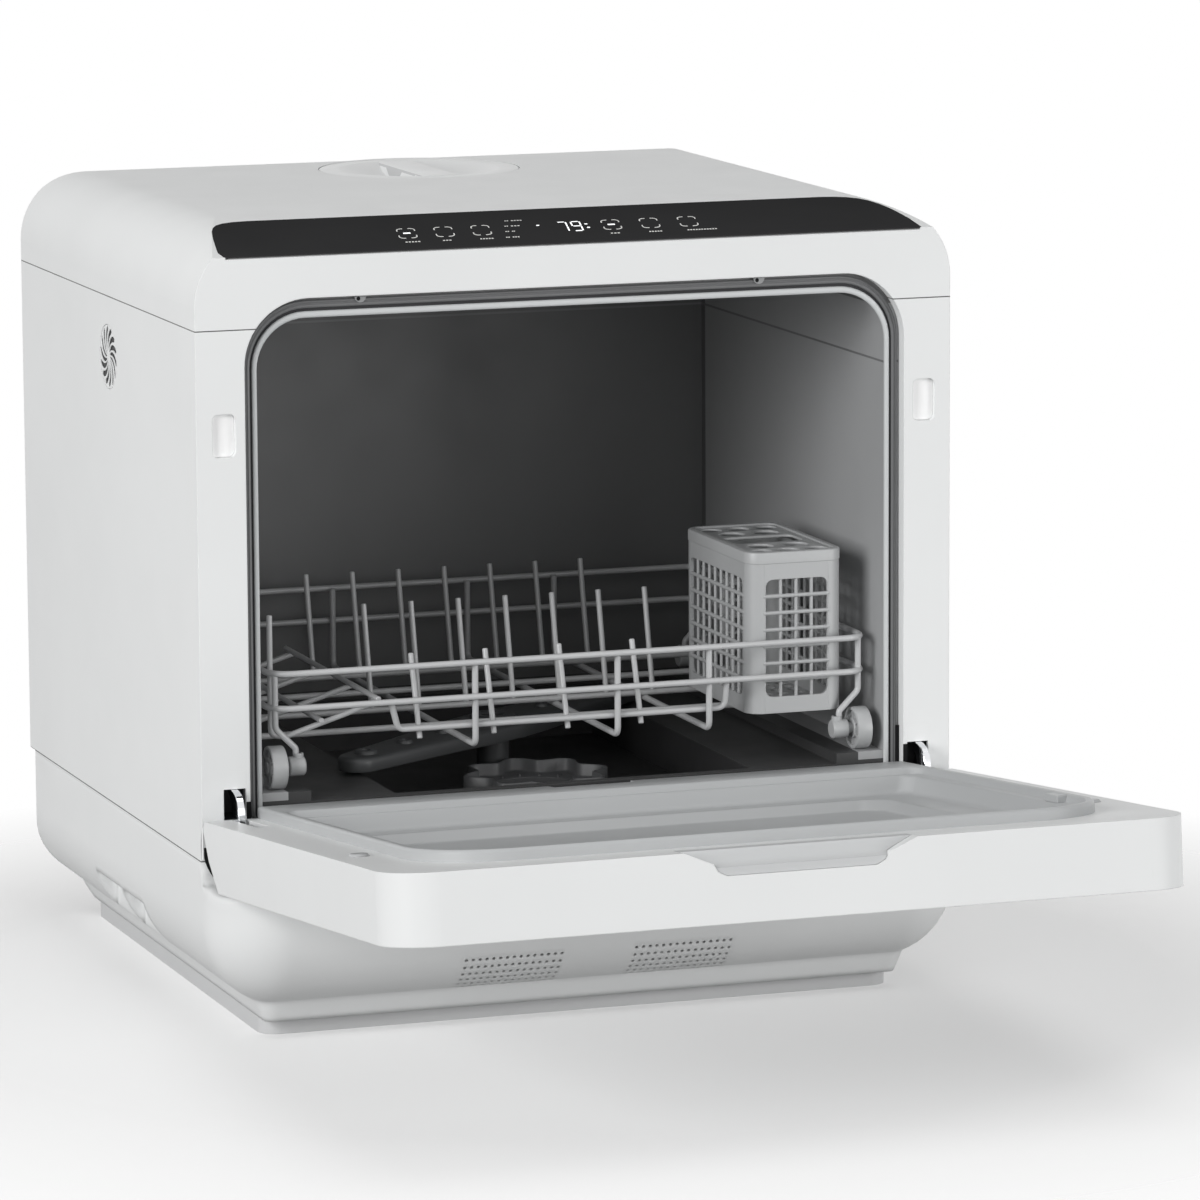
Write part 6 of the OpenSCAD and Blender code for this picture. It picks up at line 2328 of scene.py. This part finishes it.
# ---------- studio ----------
@dataclass(frozen=True)
class Lamp:
    """A square soft lamp, in metres and watts."""

    name: str
    place: Point
    aim: Point
    size: float
    power: float

    def build(self) -> None:
        """Adds the lamp to the scene."""
        data = bpy.data.lights.new(self.name, "AREA")
        data.shape = "SQUARE"
        data.size = self.size
        data.energy = self.power
        lamp = bpy.data.objects.new(self.name, data)
        bpy.context.scene.collection.objects.link(lamp)
        lamp.location = self.place
        ahead = Vector(self.aim) - Vector(self.place)
        lamp.rotation_euler = ahead.to_track_quat("-Z", "Y").to_euler()


@dataclass
class Studio:
    """Camera, lamps, pale floor and white surround."""

    yaw: float = 19.209
    pitch: float = 9.296
    roll: float = -0.323
    shift_right: float = 81.4
    shift_up: float = -10.32
    distance: float = 3829.05
    target: Point = (0.0, 217.0, 200.0)
    focal_pixels: float = 6847.32
    frame_pixels: float = 1200.0
    sensor: float = 36.0
    view_end: float = 60.0
    lamps: tuple[Lamp, ...] = (
        Lamp("key_lamp", (-3.0, -1.7, 1.2), (0, 0, 0.2), 1.8, 88.0),
        Lamp("front_lamp", (0.2, -3.2, 0.9), (0, 0, 0.2), 2.4, 13.0),
        Lamp("right_lamp", (2.2, -2.4, 0.4), (0, 0, 0.1), 1.6, 41.0),
        Lamp("top_lamp", (0.2, -0.4, 3.0), (0, 0, 0.2), 1.6, 13.0),
    )
    ambient: float = 0.21
    floor_half: float = 4.0
    floor_colour: Colour = (0.5, 0.5, 0.5)
    floor_seen: Colour = (1.08, 1.08, 1.08)
    floor_swing: float = 0.99
    floor_grain: float = 3.0
    fade_shift: Point = (0, 0.12, 0)
    fade_span: Flat = (0.34, 0.62)
    fade_start: float = 0.3

    def camera(self) -> None:
        """Places the camera at the viewing angle."""
        turn, tip = math.radians(self.yaw), math.radians(self.pitch)
        ahead = Vector((math.sin(turn) * math.cos(tip), math.cos(turn) * math.cos(tip), -math.sin(tip)))
        right = Vector((math.cos(turn), -math.sin(turn), 0))
        rise = right.cross(ahead)
        lean = Matrix.Rotation(math.radians(-self.roll), 3, ahead)
        right, rise = lean @ right, lean @ rise
        spot = Vector(self.target) - ahead * self.distance + right * self.shift_right + rise * self.shift_up
        spot = Place.FRONT.matrix() @ spot
        data = bpy.data.cameras.new("camera")
        data.sensor_width = self.sensor
        data.lens = self.focal_pixels / self.frame_pixels * self.sensor
        data.clip_end = self.view_end
        eye = bpy.data.objects.new("camera", data)
        bpy.context.scene.collection.objects.link(eye)
        axes = Matrix((right, rise, -ahead)).transposed().to_4x4()
        eye.matrix_world = Matrix.Translation(spot) @ axes
        bpy.context.scene.camera = eye

    def surround(self) -> None:
        """Makes the world: white where it is seen, plain soft light elsewhere."""
        world = bpy.data.worlds.new("surround")
        world.use_nodes = True
        bpy.context.scene.world = world
        tree = world.node_tree
        tree.nodes.clear()
        rays = tree.nodes.new("ShaderNodeLightPath")
        seen = tree.nodes.new("ShaderNodeMath")
        seen.operation = "MAXIMUM"
        tree.links.new(rays.outputs["Is Camera Ray"], seen.inputs[0])
        clear = tree.nodes.new("ShaderNodeMath")
        clear.operation = "MAXIMUM"
        tree.links.new(rays.outputs["Is Glossy Ray"], clear.inputs[0])
        tree.links.new(rays.outputs["Is Transmission Ray"], clear.inputs[1])
        tree.links.new(clear.outputs[0], seen.inputs[1])
        soft = tree.nodes.new("ShaderNodeBackground")
        soft.inputs["Strength"].default_value = self.ambient
        soft.inputs["Color"].default_value = (1, 1, 1, 1)
        white = tree.nodes.new("ShaderNodeBackground")
        white.inputs["Color"].default_value = (1, 1, 1, 1)
        mix = tree.nodes.new("ShaderNodeMixShader")
        tree.links.new(seen.outputs[0], mix.inputs[0])
        tree.links.new(soft.outputs[0], mix.inputs[1])
        tree.links.new(white.outputs[0], mix.inputs[2])
        end = tree.nodes.new("ShaderNodeOutputWorld")
        tree.links.new(mix.outputs[0], end.inputs["Surface"])

    def floor(self) -> None:
        """Lays a pale floor that fades into the white surround."""
        bpy.ops.mesh.primitive_plane_add(size=2 * self.floor_half)
        slab = bpy.context.object
        slab.name = "floor"
        bench = NodeBench("pale_floor")
        dim = shade(self.floor_colour, self.floor_swing)
        grey = bench.tint(bench.noise(self.floor_grain), dim, self.floor_colour)
        seen = bench.add("LightPath").outputs["Is Camera Ray"]
        paint = bench.add("BsdfDiffuse", Color=bench.blend(seen, grey, self.floor_seen))
        centred = bench.add("Mapping", Vector=bench.place(), Location=self.fade_shift)
        reach = bench.add("VectorMath", Vector=centred.outputs[0])
        reach.operation = "LENGTH"
        near, far = self.fade_span
        fade = bench.add(
            "MapRange", Value=reach.outputs["Value"], From_Min=near, From_Max=far, To_Min=self.fade_start,
        )
        clear = bench.add("BsdfTransparent")
        mix = bench.add("MixShader", Fac=fade.outputs["Result"])
        bench.link(paint.outputs[0], mix.inputs[1])
        bench.link(clear.outputs[0], mix.inputs[2])
        slab.data.materials.append(bench.close(mix.outputs[0]))
        slab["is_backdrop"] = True

    def build(self) -> None:
        """Builds the whole studio."""
        self.camera()
        for lamp in self.lamps:
            lamp.build()
        self.surround()
        self.floor()
        bpy.context.scene.view_settings.view_transform = "Standard"


# ---------- assembly ----------
def corners(bounds: tuple[Vector, Vector]) -> list[list[float]]:
    """Returns a box's two corners as plain lists."""
    return [list(bounds[0]), list(bounds[1])]


def dress_nodes(frame: dict) -> None:
    """Gives every carried-over solid the finish of its material slot.
    """
    slots = {part["node"]: part["material_slot"] for part in frame["record"]["subparts"]}
    for name, solid in frame["nodes"].items():
        finish = NODE_FINISH.get(name) or SLOT_FINISH[slots[name]]
        solid.data.materials.clear()
        solid.data.materials.append(finish.material())


def main() -> None:
    """Builds the studio and every piece in order, and reports each."""
    logging.basicConfig(level=logging.INFO, format="%(message)s")
    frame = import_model()
    cad_box = corners(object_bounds())
    Studio().build()
    dress_nodes(frame)
    for assembly in (
        OpeningTrim(), Catches(), TankCap(), SideVent(), PanelGlass(), PanelMarks(), EdgeHighlights(),
        SlotCovers(), CornerShades(), HingeBlades(), TrackEnds(), DoorLiner(), SprayArm(), FilterRing(),
        Rack(), Wheels(), Basket(),
    ):
        assembly.build()
    {"cad": cad_box, "visual": corners(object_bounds())}


if __name__ == "__main__":
    main()
